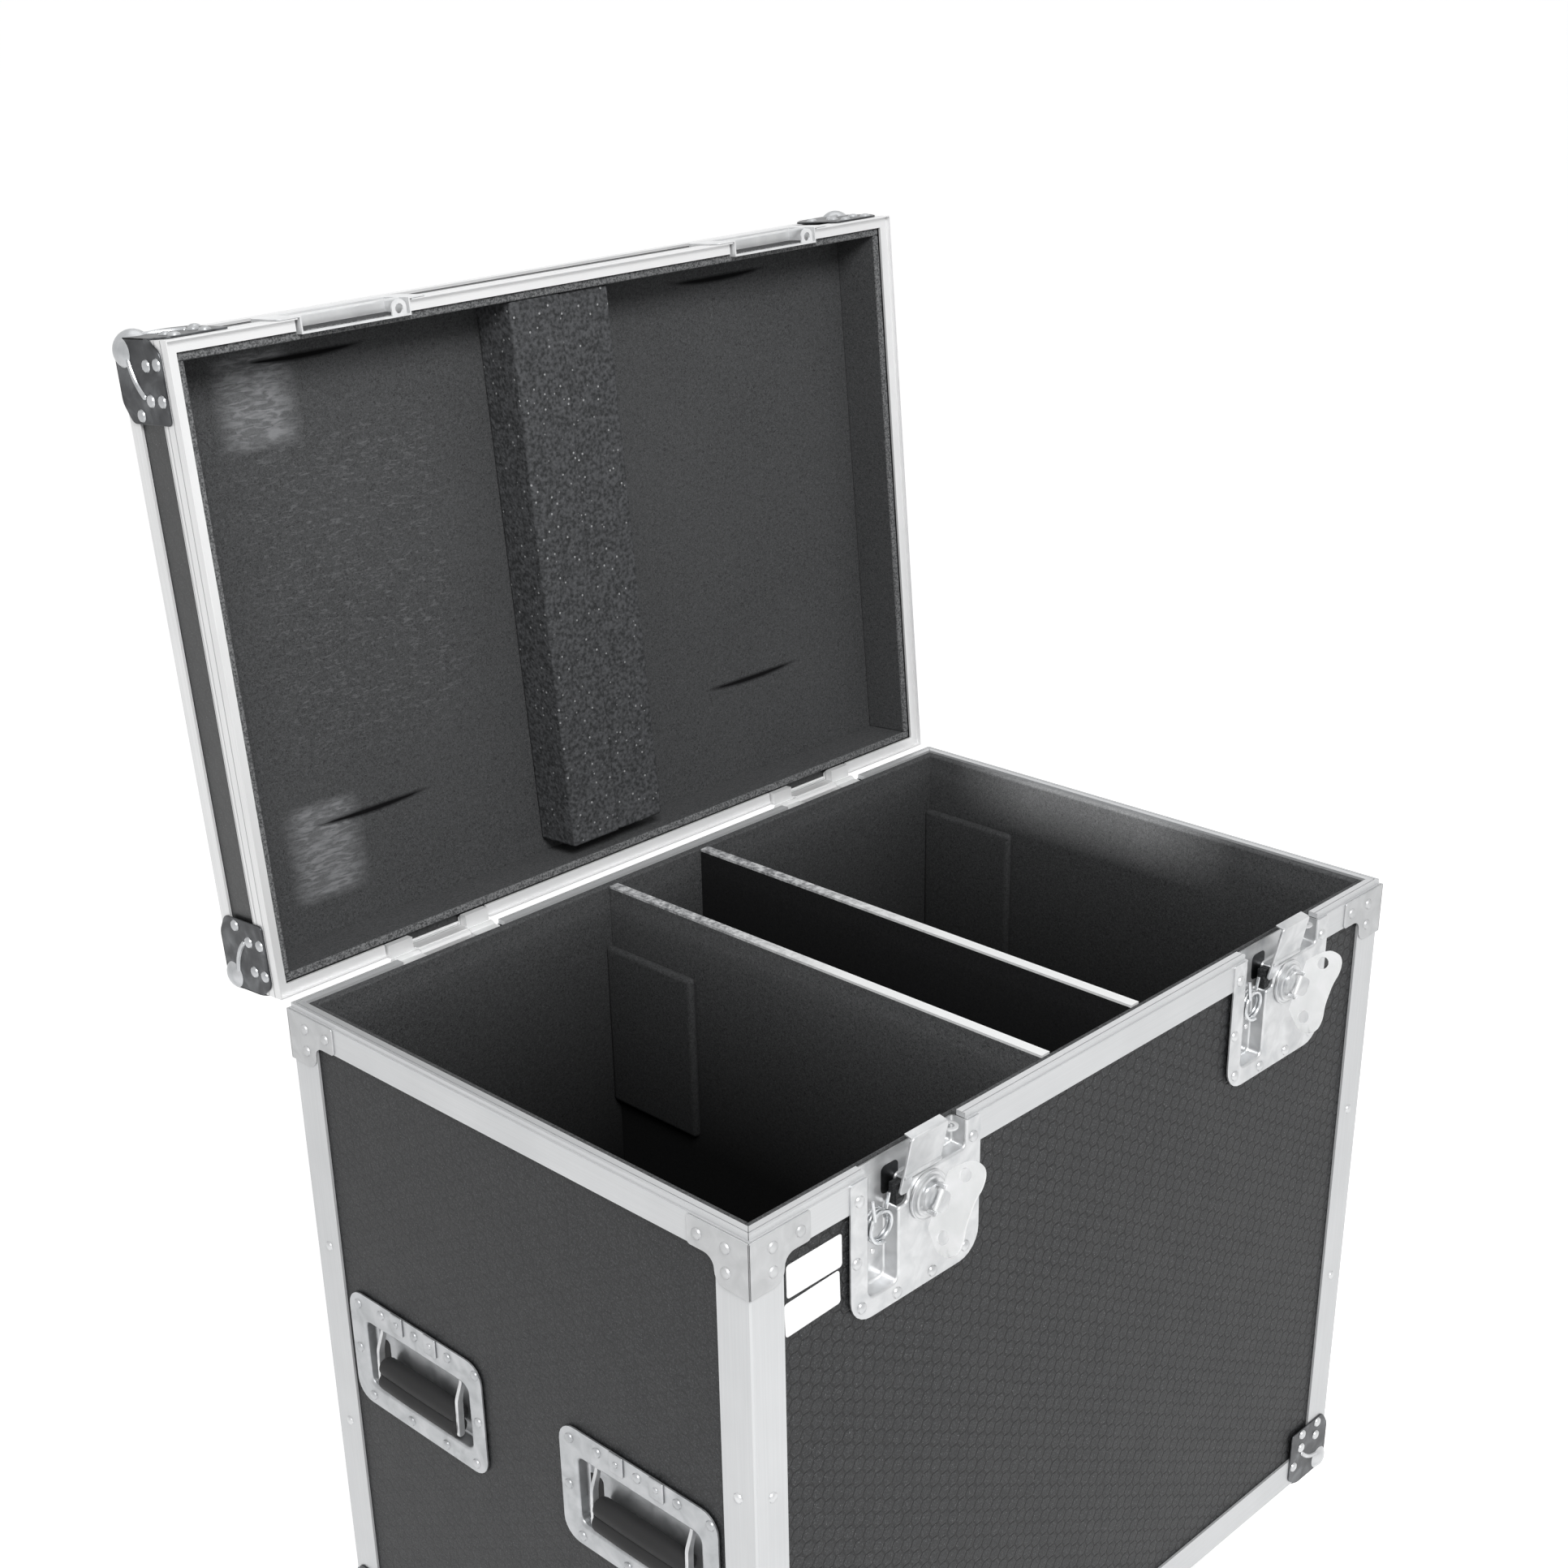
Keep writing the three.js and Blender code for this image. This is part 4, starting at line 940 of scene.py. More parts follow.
@dataclass(frozen=True)
class NeedleFelt(Finish):
    """Needled polyester felt: short matted fibres that catch light at a low angle."""

    shade: str = "#1d1d1e"
    # Real fibres are some 0.05 mm thick: too fine to show, so tufts are drawn.
    fibre_mm: float = 1.9
    fibre_relief_mm: float = 0.3
    tuft_stops: tuple[Point, ...] = ((0.3, 0.0), (0.7, 1.0))
    nap_mm: float = 110.0
    nap: str = "#5c5d5e"
    nap_share: float = 0.3
    gloss: float = 0.06
    sheen: float = 0.1
    sheen_roughness: float = 0.5
    sheen_tint: str = "#9a9b9d"
    # Painted shade that darkens the felt towards the bottom: its share, its colour, and the heights where it
    # starts and where it is full.
    deep: float = 0.0
    painted_depth_shade: str = "#040404"
    deep_start: float = 560.0
    deep_end: float = 300.0
    # A painted highlight near the top of the right wall: where it starts across, its patch, its fades, its
    # tufts and its colour.
    painted_highlight_from: float = 346.0
    painted_highlight_patch: Rectangle = (-65.0, 566.0, 150.0, 666.0)
    painted_highlight_soft: Point = (90.0, 80.0)
    painted_highlight_tufts: Point = (0.7, 0.35)
    painted_highlight_colour: str = "#c8c9ca"

    def tone(self, surface: Surface, fibre: Node) -> Node:
        """The felt's colour: matted fibres and a soft nap, and in the base painted shade that darkens it
        towards the bottom and a painted highlight near the top of the right wall.

        Args:
            surface: the material under way.
            fibre: the fibres' pattern.

        Returns:
            The colour's node.
        """
        tuft = surface.add("ValToRGB", fibre, stops=self.tuft_stops)
        colour = surface.add("Mix", tuft, self.shade, self.colour, data_type="RGBA")
        share = surface.add("TexNoise", surface.spot, 1 / self.nap_mm, 3.0)
        share = surface.add("Math", share, self.nap_share, operation="MULTIPLY")
        colour = surface.add("Mix", share, colour, self.nap, data_type="RGBA")
        # Painted shade, darker towards the bottom.
        if self.deep > 0:
            reach = self.deep_start - self.deep_end
            down = surface.add("Math", self.deep_start, surface.up, operation="SUBTRACT")
            down = surface.add("Math", down, reach, operation="DIVIDE", use_clamp=True)
            down = surface.add("Math", down, 0.5, operation="POWER")
            down = surface.add("Math", down, self.deep, operation="MULTIPLY")
            colour = surface.add("Mix", down, colour, self.painted_depth_shade, data_type="RGBA")
            # A painted highlight near the top of the right wall, broken up by the tufts.
            worn = surface.add("Math", surface.right, self.painted_highlight_from, operation="GREATER_THAN")
            patch = surface.patch(surface.back, surface.up, self.painted_highlight_patch, self.painted_highlight_soft)
            worn = surface.add("Math", worn, patch, operation="MULTIPLY")
            tufts = surface.add("Math", tuft, *self.painted_highlight_tufts, operation="MULTIPLY_ADD")
            worn = surface.add("Math", worn, tufts, operation="MULTIPLY")
            colour = surface.add("Mix", worn, colour, self.painted_highlight_colour, data_type="RGBA")
        return colour

    def paint(self, surface: Surface) -> None:
        """Matted fibres with a soft nap.

        Args:
            surface: the material under way.
        """
        curl = {"Distortion": 1.5}
        fibre = surface.add("TexNoise", surface.spot, 1 / self.fibre_mm, 4.0, 0.7, named=curl)
        surface.drive("Base Color", self.tone(surface, fibre))
        surface.drive("Sheen Weight", self.sheen)
        surface.drive("Sheen Roughness", self.sheen_roughness)
        surface.drive("Sheen Tint", self.sheen_tint)
        surface.drive("Specular IOR Level", self.gloss)
        stands = {"Height": fibre, "Distance": self.fibre_relief_mm * MM}
        surface.drive("Normal", surface.add("Bump", named=stands))


@dataclass(frozen=True)
class LidFeltWithPaintedLight(NeedleFelt):
    """The lid's felt: pale patches of painted light, and dark slits of painted shadow."""

    width: float = 730.0
    depth: float = 479.0
    # pale: the colour of the painted light in the patches, and of the streaks.
    pale: str = "#8b8c8e"
    patches: tuple[Rectangle, ...] = ((68.0, 390.0, 122.0, 455.0), (66.0, 45.0, 120.0, 118.0))
    patch_soft: Point = (22.0, 9.0)
    patch_tufts: Point = (0.5, 0.3)
    stroke_mm: float = 4.5
    stroke_turn: float = -38.0
    stroke_scale: Triple = (0.35, 1.6, 1.0)
    stroke_stops: tuple[Point, ...] = ((0.42, 0.0), (0.62, 1.0))
    streaked: Rectangle = (70.0, 150.0, 250.0, 400.0)
    streak_soft: Point = (45.0, 60.0)
    streak_mm: float = 3.4
    streak_scale: Triple = (0.5, 1.6, 1.0)
    streak_stops: tuple[Point, ...] = ((0.54, 0.0), (0.7, 1.0))
    streak_share: float = 0.28
    fuzz_below: float = 584.7
    fuzz_mm: float = 1.4
    fuzz_stops: tuple[Point, ...] = ((0.4, 0.0), (0.6, 1.0))
    fuzz_share: float = 0.4
    fuzz: str = "#a4a5a6"
    # Dark slits of painted shadow: each one's middle and height, then their colour and shape.
    slits: tuple[Point, ...] = ((140.5, 450.0), (565.5, 450.0), (140.5, 103.0), (565.5, 103.0))
    slit: str = "#0c0c0d"
    slit_half: float = 63.0
    slit_open: float = 2.4
    slit_spread: float = 1.05
    slit_edge: float = 1.4
    slit_dark: float = 1.6

    def tone(self, surface: Surface, fibre: Node) -> Node:
        """Felt with pale patches of painted light, faint streaks, and dark slits of painted shadow on the
        lid's roof.

        Args:
            surface: the material under way.
            fibre: the fibres' pattern.

        Returns:
            The colour's node.
        """
        colour = super().tone(surface, fibre)
        across = surface.add("Math", surface.right, self.width / 2, operation="ADD")
        from_hinge = surface.add("Math", self.depth / 2, surface.back, operation="SUBTRACT")
        fuzz = surface.add("Math", surface.up, self.fuzz_below, operation="LESS_THAN")
        tufts = surface.add("TexNoise", surface.spot, 1 / self.fuzz_mm, 3.0)
        tufts = surface.add("ValToRGB", tufts, stops=self.fuzz_stops)
        share = surface.add("Math", fuzz, tufts, operation="MULTIPLY")
        share = surface.add("Math", share, self.fuzz_share, operation="MULTIPLY")
        colour = surface.add("Mix", share, colour, self.fuzz, data_type="RGBA")
        slant = {"Rotation": (0.0, 0.0, math.radians(self.stroke_turn)), "Scale": self.stroke_scale}
        slanted = surface.add("Mapping", surface.spot, named=slant)
        swirl = {"Distortion": 0.8}
        strokes = surface.add("TexNoise", slanted, 1 / self.stroke_mm, 4.0, named=swirl)
        strokes = surface.add("ValToRGB", strokes, stops=self.stroke_stops)
        strokes = surface.add("Math", strokes, *self.patch_tufts, operation="MULTIPLY_ADD")
        # Pale patches of painted light, broken by slanted strokes.
        for bounds in self.patches:
            inside = surface.patch(across, from_hinge, bounds, self.patch_soft)
            worn = surface.add("Math", inside, strokes, operation="MULTIPLY")
            colour = surface.add("Mix", worn, colour, self.pale, data_type="RGBA")
        inside = surface.patch(across, from_hinge, self.streaked, self.streak_soft)
        level = surface.add("Mapping", surface.spot, named={"Scale": self.streak_scale})
        swirl = {"Distortion": 1.0}
        streaks = surface.add("TexNoise", level, 1 / self.streak_mm, 4.0, named=swirl)
        streaks = surface.add("ValToRGB", streaks, stops=self.streak_stops)
        share = surface.add("Math", inside, streaks, operation="MULTIPLY")
        share = surface.add("Math", share, self.streak_share, operation="MULTIPLY")
        colour = surface.add("Mix", share, colour, self.pale, data_type="RGBA")
        # Dark slits of painted shadow.
        for middle, height in self.slits:
            shade = self.cut(surface, across, from_hinge, middle, height)
            colour = surface.add("Mix", shade, colour, self.slit, data_type="RGBA")
        return colour

    def cut(self, surface: Surface, across: Node, from_hinge: Node, middle: float, height: float) -> Node:
        """One slit of painted shadow, which sags open into a thin lens.

        Args:
            surface: the material under way.
            across: the place across the lid.
            from_hinge: the place up the open lid.
            middle: where its middle is across.
            height: how high its ends are.

        Returns:
            A node that is 1 in the slit and 0 outside.
        """
        share = surface.add("Math", across, middle, operation="SUBTRACT")
        share = surface.add("Math", share, self.slit_half, operation="DIVIDE")
        share = surface.add("Math", share, share, operation="MULTIPLY")
        belly = surface.add("Math", 1.0, share, operation="SUBTRACT", use_clamp=True)
        lens = surface.add("Math", belly, self.slit_open, operation="MULTIPLY")
        line = surface.add("Math", height, lens, operation="SUBTRACT")
        line = surface.add("Math", from_hinge, line, operation="SUBTRACT")
        line = surface.add("Math", line, operation="ABSOLUTE")
        reach = surface.add("Math", lens, self.slit_spread, self.slit_edge, operation="MULTIPLY_ADD")
        gap = surface.add("Math", reach, line, operation="SUBTRACT")
        gap = surface.add("Math", gap, self.slit_edge * 2, operation="DIVIDE", use_clamp=True)
        dark = surface.add("Math", belly, self.slit_dark, operation="MULTIPLY", use_clamp=True)
        return surface.add("Math", gap, dark, operation="MULTIPLY")


@dataclass(frozen=True)
class CoveredPlywood(NeedleFelt):
    """Plywood dividers covered in felt, with their worn top edges pale, and greyer towards the back."""

    # Painted shade over the faces inside the narrow middle bay: its span across, its fade, its share and its
    # colour.
    bay: Point = (-54.0, 54.0)
    bay_edge: float = 0.5
    painted_bay_shade_share: float = 0.88
    painted_bay_shade: str = "#0b0b0c"
    edge_height: float = 576.0
    edge: str = "#e2e3e3"
    wear_mm: float = 5.0
    wear_stops: tuple[tuple[float, str], ...] = ((0.4, "#77787a"), (0.6, "#c9cacb"))
    worn_from: float = -40.0
    worn_over: float = 160.0

    def tone(self, surface: Surface, fibre: Node) -> Node:
        """Felt below, darkened by painted shade inside the narrow middle bay, and pale ply along the top
        edge.

        Args:
            surface: the material under way.
            fibre: the fibres' pattern.

        Returns:
            The colour's node.
        """
        felt = super().tone(surface, fibre)
        # Painted shade inside the narrow middle bay.
        inside = surface.window(surface.right, *self.bay, self.bay_edge)
        inside = surface.add("Math", inside, self.painted_bay_shade_share, operation="MULTIPLY")
        felt = surface.add("Mix", inside, felt, self.painted_bay_shade, data_type="RGBA")
        top = surface.add("Math", surface.up, self.edge_height, operation="GREATER_THAN")
        wear = surface.add("TexNoise", surface.spot, 1 / self.wear_mm, 5.0, 0.7)
        wear = surface.add("ValToRGB", wear, stops=self.wear_stops)
        back = surface.add("Math", surface.back, -self.worn_from, operation="ADD")
        back = surface.add("Math", back, self.worn_over, operation="DIVIDE", use_clamp=True)
        edge = surface.add("Mix", back, self.edge, wear, data_type="RGBA")
        return surface.add("Mix", top, felt, edge, data_type="RGBA")


@dataclass(frozen=True)
class OpenFoam(Finish):
    """Cut polyether foam: open cells, some of which catch the light as pale specks."""

    shade: str = "#303132"
    # Real cells are about 1 mm wide and are drawn coarser, so that they show.
    cell_mm: float = 2.4
    soft_mm: float = 3.0
    soft_stops: tuple[Point, ...] = ((0.35, 0.0), (0.65, 1.0))
    speck_mm: float = 7.5
    speck_stops: tuple[Point, ...] = ((0.09, 1.0), (0.14, 0.0))
    speck_share: float = 0.7
    speck: str = "#b0b1b2"
    gloss: float = 0.2
    relief_mm: float = 0.4

    def paint(self, surface: Surface) -> None:
        """Cells from a Voronoi pattern, with scattered bright specks painted as highlights.

        Args:
            surface: the material under way.
        """
        cells = surface.add("TexVoronoi", surface.spot, 1 / self.cell_mm)
        soft = surface.add("TexNoise", surface.spot, 1 / self.soft_mm, 3.0)
        share = surface.add("ValToRGB", soft, stops=self.soft_stops)
        tone = surface.add("Mix", share, self.shade, self.colour, data_type="RGBA")
        # The pale specks are painted highlights, where cells catch the light.
        share = surface.add("TexVoronoi", surface.spot, 1 / self.speck_mm)
        share = surface.add("ValToRGB", share, stops=self.speck_stops)
        share = surface.add("Math", share, self.speck_share, operation="MULTIPLY")
        surface.drive("Base Color", surface.add("Mix", share, tone, self.speck, data_type="RGBA"))
        surface.drive("Specular IOR Level", self.gloss)
        height = surface.add("Math", cells, soft, operation="ADD")
        stands = {"Height": height, "Distance": self.relief_mm * MM}
        surface.drive("Normal", surface.add("Bump", named=stands))


@dataclass(frozen=True)
class MouldedRubber(Finish):
    """Moulded rubber: matt black with a fine grain and dusty high spots."""

    # The mould's real grain is too fine to show, so it is drawn coarser.
    grain_mm: float = 0.8
    grain_relief_mm: float = 0.1
    dust_mm: float = 17.0
    dust: str = "#29292a"
    dust_share: float = 0.4
    dust_gloss: float = 0.2

    def paint(self, surface: Surface) -> None:
        """Fine grain and dust.

        Args:
            surface: the material under way.
        """
        dust = surface.add("TexNoise", surface.spot, 1 / self.dust_mm, 4.0)
        share = surface.add("Math", dust, self.dust_share, operation="MULTIPLY")
        surface.drive("Base Color", surface.add("Mix", share, self.colour, self.dust, data_type="RGBA"))
        least = self.roughness - self.dust_gloss / 2
        rough = surface.add("Math", dust, self.dust_gloss, least, operation="MULTIPLY_ADD")
        surface.drive("Roughness", rough)
        grain = surface.add("TexNoise", surface.spot, 1 / self.grain_mm, 3.0)
        stands = {"Height": grain, "Distance": self.grain_relief_mm * MM}
        surface.drive("Normal", surface.add("Bump", named=stands))


@dataclass(frozen=True)
class LabelPaper(Finish):
    """Blank gummed paper: white, faintly mottled."""

    # Real fibres are too fine to show, so the mottle is drawn instead.
    pulp_mm: float = 3.8
    pulp: str = "#e2e2e2"
    pulp_share: float = 0.3
    pulp_relief_mm: float = 0.05

    def paint(self, surface: Surface) -> None:
        """Faint paper mottle.

        Args:
            surface: the material under way.
        """
        pulp = surface.add("TexNoise", surface.spot, 1 / self.pulp_mm, 4.0)
        share = surface.add("Math", pulp, self.pulp_share, operation="MULTIPLY")
        surface.drive("Base Color", surface.add("Mix", share, self.colour, self.pulp, data_type="RGBA"))
        stands = {"Height": pulp, "Distance": self.pulp_relief_mm * MM}
        surface.drive("Normal", surface.add("Bump", named=stands))


class Finishes:
    """Every finish of the case, made once for the base and, where it needs one, for the lid."""

    lid_grooves: tuple[float, ...] = (8.0, 16.0, 20.0)

    def __init__(self, setting: Setting) -> None:
        """Makes the materials.

        Args:
            setting: where the case stands; the lid's patterns turn with the lid.
        """
        base, lid = setting.base(), setting.shut_lid()
        grooves = tuple(setting.sizes.lid_floor + rise for rise in self.lid_grooves)
        satin, upright = (0.42, 0.5), (1.0, 1.0, 0.01)
        # Drawn and satin extrusions: a soft pale metal with faint lines along each bar.
        self.aluminium = SatinAluminium("satin_aluminium", "#d0d1d2", *satin).material(base)
        # The same bars standing, so that their lines run upwards.
        self.post = SatinAluminium("satin_aluminium_post", "#d0d1d2", *satin, drawn=upright).material(base)
        # The lid's extrusions, cleaner and painted lighter as faces turned to the light: almost white, with
        # painted shade in their rolled grooves.
        self.lid_aluminium_painted_light = SatinAluminium(
            "satin_aluminium_lid", "#f4f4f4", 0.42, 0.45, grooves=grooves,
        ).material(lid)
        # Zinc-plated pressings: bright, with soft reflections and faint smears.
        self.zinc = ZincPlate("zinc_plated_steel", "#c4c5c6", 0.32, 0.75).material(base)
        # The same on the lid: painted darker as the lid's shade, and smoother.
        self.lid_zinc_painted_shade = ZincPlate(
            "zinc_plated_steel_lid", "#aeb0b2", 0.3, 0.85, "#a0a2a4", "#bcbdbf",
        ).material(lid)
        # Strike plates, flat and matt: almost white, with hardly a reflection.
        self.strike = ZincPlate(
            "pressed_zinc_plate_lid", "#dcddde", 0.42, 0.45, "#d4d5d6", "#e4e5e5",
        ).material(lid)
        # Zinc painted dark: a painted dark reflection on the corners' flanges and painted shade in the
        # latches' openings, showing its smears.
        self.zinc_painted_dark = ZincPlate(
            "zinc_with_painted_dark", "#4b4c4e", 0.36, 1.0, "#38393b", "#6a6c6e",
        ).material(lid)
        # Wings tumbled after plating: a pale, even metal without a highlight.
        self.wing = ZincPlate(
            "tumbled_zinc_plate", "#dedfdf", 0.5, 0.35, "#d9dada", "#e4e4e5",
        ).material(base)
        # Dishes dulled by handling: grey metal with cloudy reflections.
        self.dish = ZincPlate(
            "dulled_zinc_plate", "#aaacae", 0.36, 0.75, "#989a9c", "#b8b9bb",
        ).material(base)
        # Braces pressed from thin plate: light grey and half matt.
        self.brace = ZincPlate(
            "pressed_zinc_plate", "#b9babb", 0.42, 0.5, "#b0b1b2", "#c3c4c5",
        ).material(base)
        # Hard-drawn spring wire: a narrow bright highlight.
        self.wire = ZincPlate("spring_steel", "#c6c8ca", 0.28, 1.0).material(base)
        # Laminate pressed with hexagons: near-black, its raised cells faintly lit and its valleys painted
        # dark as shade.
        self.laminate = HexLaminate("hex_laminate", "#0d0e0f", 0.56, relief_mm=0.5).material(base)
        # The floor's laminate, and the castors' zinc forks in the same solid.
        self.floor = BoardedFloor(
            "laminate_floor_with_zinc_forks", "#141516", 0.5, relief_mm=0.2,
        ).material(base)
        # The lid's laminate: smoother and glossier, its hexagons hardly there.
        self.lid_laminate = HexLaminate(
            "hex_laminate_lid", "#151617", 0.4, relief_mm=0.1, worn="#242526", gloss=0.6,
        ).material(lid)
        # Needled felt: matt grey, with painted shade that sinks it to black deep in the bays, and a painted
        # highlight near the top of the right wall.
        self.felt = NeedleFelt(
            "needle_felt", "#646566", 0.95, sheen=0.03, deep=0.95, deep_end=320.0,
        ).material(base)
        # The lid's felt: matt grey, with pale patches of painted light and dark slits of painted shadow.
        self.lid_felt = LidFeltWithPaintedLight("needle_felt_lid", "#5b5c5d", 0.95).material(lid)
        # Cut open-cell foam: matt grey with scattered pale specks painted as highlights.
        self.foam = OpenFoam("open_foam", "#525355", 0.95).material(lid)
        # Felt-covered plywood: dark faces under a pale worn edge, with painted shade deep down and inside the
        # middle bay.
        self.divider = CoveredPlywood(
            "covered_plywood", "#6e6f70", 0.95, shade="#262627", sheen=0.03, deep=0.96, deep_end=365.0,
        ).material(base)
        # Moulded rubber: matt black with a little dust.
        self.rubber = MouldedRubber("moulded_rubber", "#0d0d0e", 0.75).material(base)
        # Gummed paper: flat white.
        self.paper = LabelPaper("label_paper", "#f6f6f6", 0.7).material(base)


# ---------------------------------------------------------------- sub-assemblies


@dataclass
class CaseShell:
    """The panels, extrusions and posts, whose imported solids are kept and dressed."""

    setting: Setting
    finishes: Finishes
    rivet_rises: tuple[float, ...] = (-206.0, -372.0)
    rivet_inset: float = 16.0
    rivet_radius: float = 4.0
    rivet_height: float = 1.8

    def build(self) -> None:
        """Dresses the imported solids, all but the linings, and puts the rivets on the posts."""
        looks = self.finishes
        by_name = (
            (("post_",), looks.post),
            (("base_rim", "bottom_edge"), looks.aluminium),
            (("lid_rim", "lid_edge", "hinge_lid"), looks.lid_aluminium_painted_light),
            (("floor_panel",), looks.floor),
            (("front_panel", "back_panel", "left_panel", "right_panel"), looks.laminate),
            (("lid_shell",), looks.lid_laminate),
            (("divider",), looks.divider),
            (("castor_wheel", "handle_grip"), looks.rubber),
            (("hinge_base",), looks.wing),
            (("latch_strike",), looks.strike),
            (("base_lining", "lid_lining"), None),
            (("",), looks.zinc),
        )
        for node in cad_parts:
            look = next(look for starts, look in by_name if node.startswith(starts))
            if look:
                dress(node, look)
        self.rivet_posts()

    def rivet_posts(self) -> None:
        """Rivets down the middle of each post's legs."""
        sizes = self.setting.sizes
        heads = new_mesh()
        for wall in Wall:
            ends = (self.rivet_inset, sizes.length(wall) - self.rivet_inset)
            spots = [(u, v) for u in ends for v in self.rivet_rises]
            row = rivets(spots, 0.0, self.rivet_radius, self.rivet_height)
            absorb(heads, row, self.setting.face(wall, sizes.base_height))
        publish("post_rivets", heads, self.finishes.zinc, "base", Matrix.Identity(4), slot="zinc_steel")


@dataclass
class CornerBrace:
    """A pressed brace folded round an upper corner, riveted to the rim and the post."""

    arm: float = 54.0
    lobe: float = 46.0
    side: float = 30.0
    top: float = 4.3
    foot: float = 26.3
    sheet: float = 1.4
    rounds: tuple[float, ...] = (0.0, 10.0, 9.0, 3.0, 2.0, 0.0)
    edge: float = 0.5
    rivets: tuple[Point, ...] = ((19.5, -15.5), (44.5, -15.5), (19.5, -33.5))

    def face(self) -> BMesh:
        """One of the two flat faces, in the wall's u and v.

        Returns:
            The plate.
        """
        points = [(-self.sheet, -self.lobe), (self.side, -self.lobe), (self.side, -self.foot),
                  (self.arm, -self.foot), (self.arm, -self.top), (-self.sheet, -self.top)]
        return soften(thicken(flat(points, self.rounds), self.sheet), self.edge)

    def shape(self) -> BMesh:
        """Both faces and the rivets.

        Returns:
            The brace, in the corner's axes.
        """
        bm = new_mesh()
        for place in CORNER_PLANES[1:]:
            absorb(bm, self.face(), place)
            absorb(bm, rivets(self.rivets, self.sheet), place)
        return bm

    def build(self, setting: Setting, finishes: Finishes) -> None:
        """Places the four braces.

        Args:
            setting: where the case stands.
            finishes: its materials.
        """
        for corner, sx, sy in CORNERS:
            place = setting.corner(sx, sy, setting.sizes.base_height)
            name = f"corner_brace_{corner}"
            publish(f"pressed_{name}", self.shape(), finishes.brace, "base", place, [name], "zinc_steel")


@dataclass
class BallCorner:
    """A pressed corner: three flanges painted dark as a dark reflection, with bright ribs and rivets, and a
    domed ball.
    """

    reach: float = 57.0
    shoulder: float = 43.0
    ear: float = 8.0
    cut: float = 6.0
    rounds: tuple[float, ...] = (0.0, 0.0, 3.0, 4.0, 4.0, 4.0, 3.0)
    sheet: float = 1.5
    edge: float = 0.5
    ball: float = 14.5
    sink: float = 8.5
    hidden: float = 3.5
    rivets: tuple[Point, ...] = ((16.0, 51.5), (17.0, 38.0), (40.5, 51.0), (40.5, 36.5), (51.0, 21.0))
    rivet_radius: float = 4.6
    rivet_height: float = 2.3
    rib_middle: Point = (7.3, 55.4)
    rib_start: Point = (38.0, 29.0)
    rib_end: Point = (5.6, 15.0)
    rib_turn: float = -52.0
    rib_radius: float = 2.2
    rib_rise_share: float = 0.7

    def face(self) -> BMesh:
        """One flange in its own plane, its corner cut off under the ball.

        Returns:
            The plate.
        """
        low, reach, cut, shoulder, ear = -self.sheet, self.reach, self.cut, self.shoulder, self.ear
        points = [(low, cut), (cut, low), (shoulder, low), (reach, ear), (reach, reach), (ear, reach),
                  (low, shoulder)]
        return soften(thicken(flat(points, self.rounds, 4), self.sheet), self.edge)

    def rib(self) -> BMesh:
        """A curved rib pressed into a flange, from between the rivets to the edge beside the ball.

        Returns:
            The rib with its rounded ends.
        """
        rise = self.sheet * self.rib_rise_share
        middle, start = (*self.rib_middle, rise), (*self.rib_start, rise)
        bm = swept(middle, (0, 0, 1), start, self.rib_turn, self.rib_radius, 12)
        for spot in (self.rib_start, self.rib_end):
            absorb(bm, dome(Matrix.Translation((*spot, rise)), self.rib_radius, self.rib_radius))
        return bm

    def plates(self) -> BMesh:
        """The three flanges.

        Returns:
            The part of the corner painted dark as a reflection.
        """
        bm = new_mesh()
        for place in CORNER_PLANES:
            absorb(bm, self.face(), place)
        return bm

    def bright(self) -> BMesh:
        """The rivets, ribs and ball, whose rounded tops catch the light.

        Returns:
            The bright part of the corner.
        """
        bm = new_mesh()
        for place in CORNER_PLANES:
            absorb(bm, rivets(self.rivets, self.sheet, self.rivet_radius, self.rivet_height), place)
            absorb(bm, self.rib(), place)
        ball = new_mesh()
        middle = Matrix.Translation((self.sink,) * 3)
        bmesh.ops.create_uvsphere(ball, u_segments=32, v_segments=20, radius=self.ball, matrix=middle)
        # What would reach the case's inside slides back along the diagonal, so the ball stays round outside.
        for vert in ball.verts:
            vert.co -= Vector((max(min(vert.co) - self.hidden, 0.0),) * 3)
        absorb(bm, ball)
        return bm

    def build(self, setting: Setting, finishes: Finishes) -> None:
        """Places four corners on the base and four on the lid.

        Args:
            setting: where the case stands.
            finishes: its materials.
        """
        # On the lid, the bright parts take zinc painted darker as the lid's shade.
        parts = (("base", 0.0, 1, finishes.zinc), ("lid", setting.sizes.lid_top, -1, finishes.lid_zinc_painted_shade))
        for corner, sx, sy in CORNERS:
            for part, height, sz, look in parts:
                place = setting.corner(sx, sy, height, sz, part == "lid")
                node = f"{part}_ball_corner_{corner}"
                # The flanges take zinc painted dark as a dark reflection; the rivets, ribs and ball stay
                # bright.
                pieces = ((f"pressed_{node}", self.plates(), finishes.zinc_painted_dark, [node]),
                          (f"riveted_{node}", self.bright(), look, []))
                for name, bm, finish, hides in pieces:
                    publish(name, bm, finish, part, place, hides, "zinc_steel")


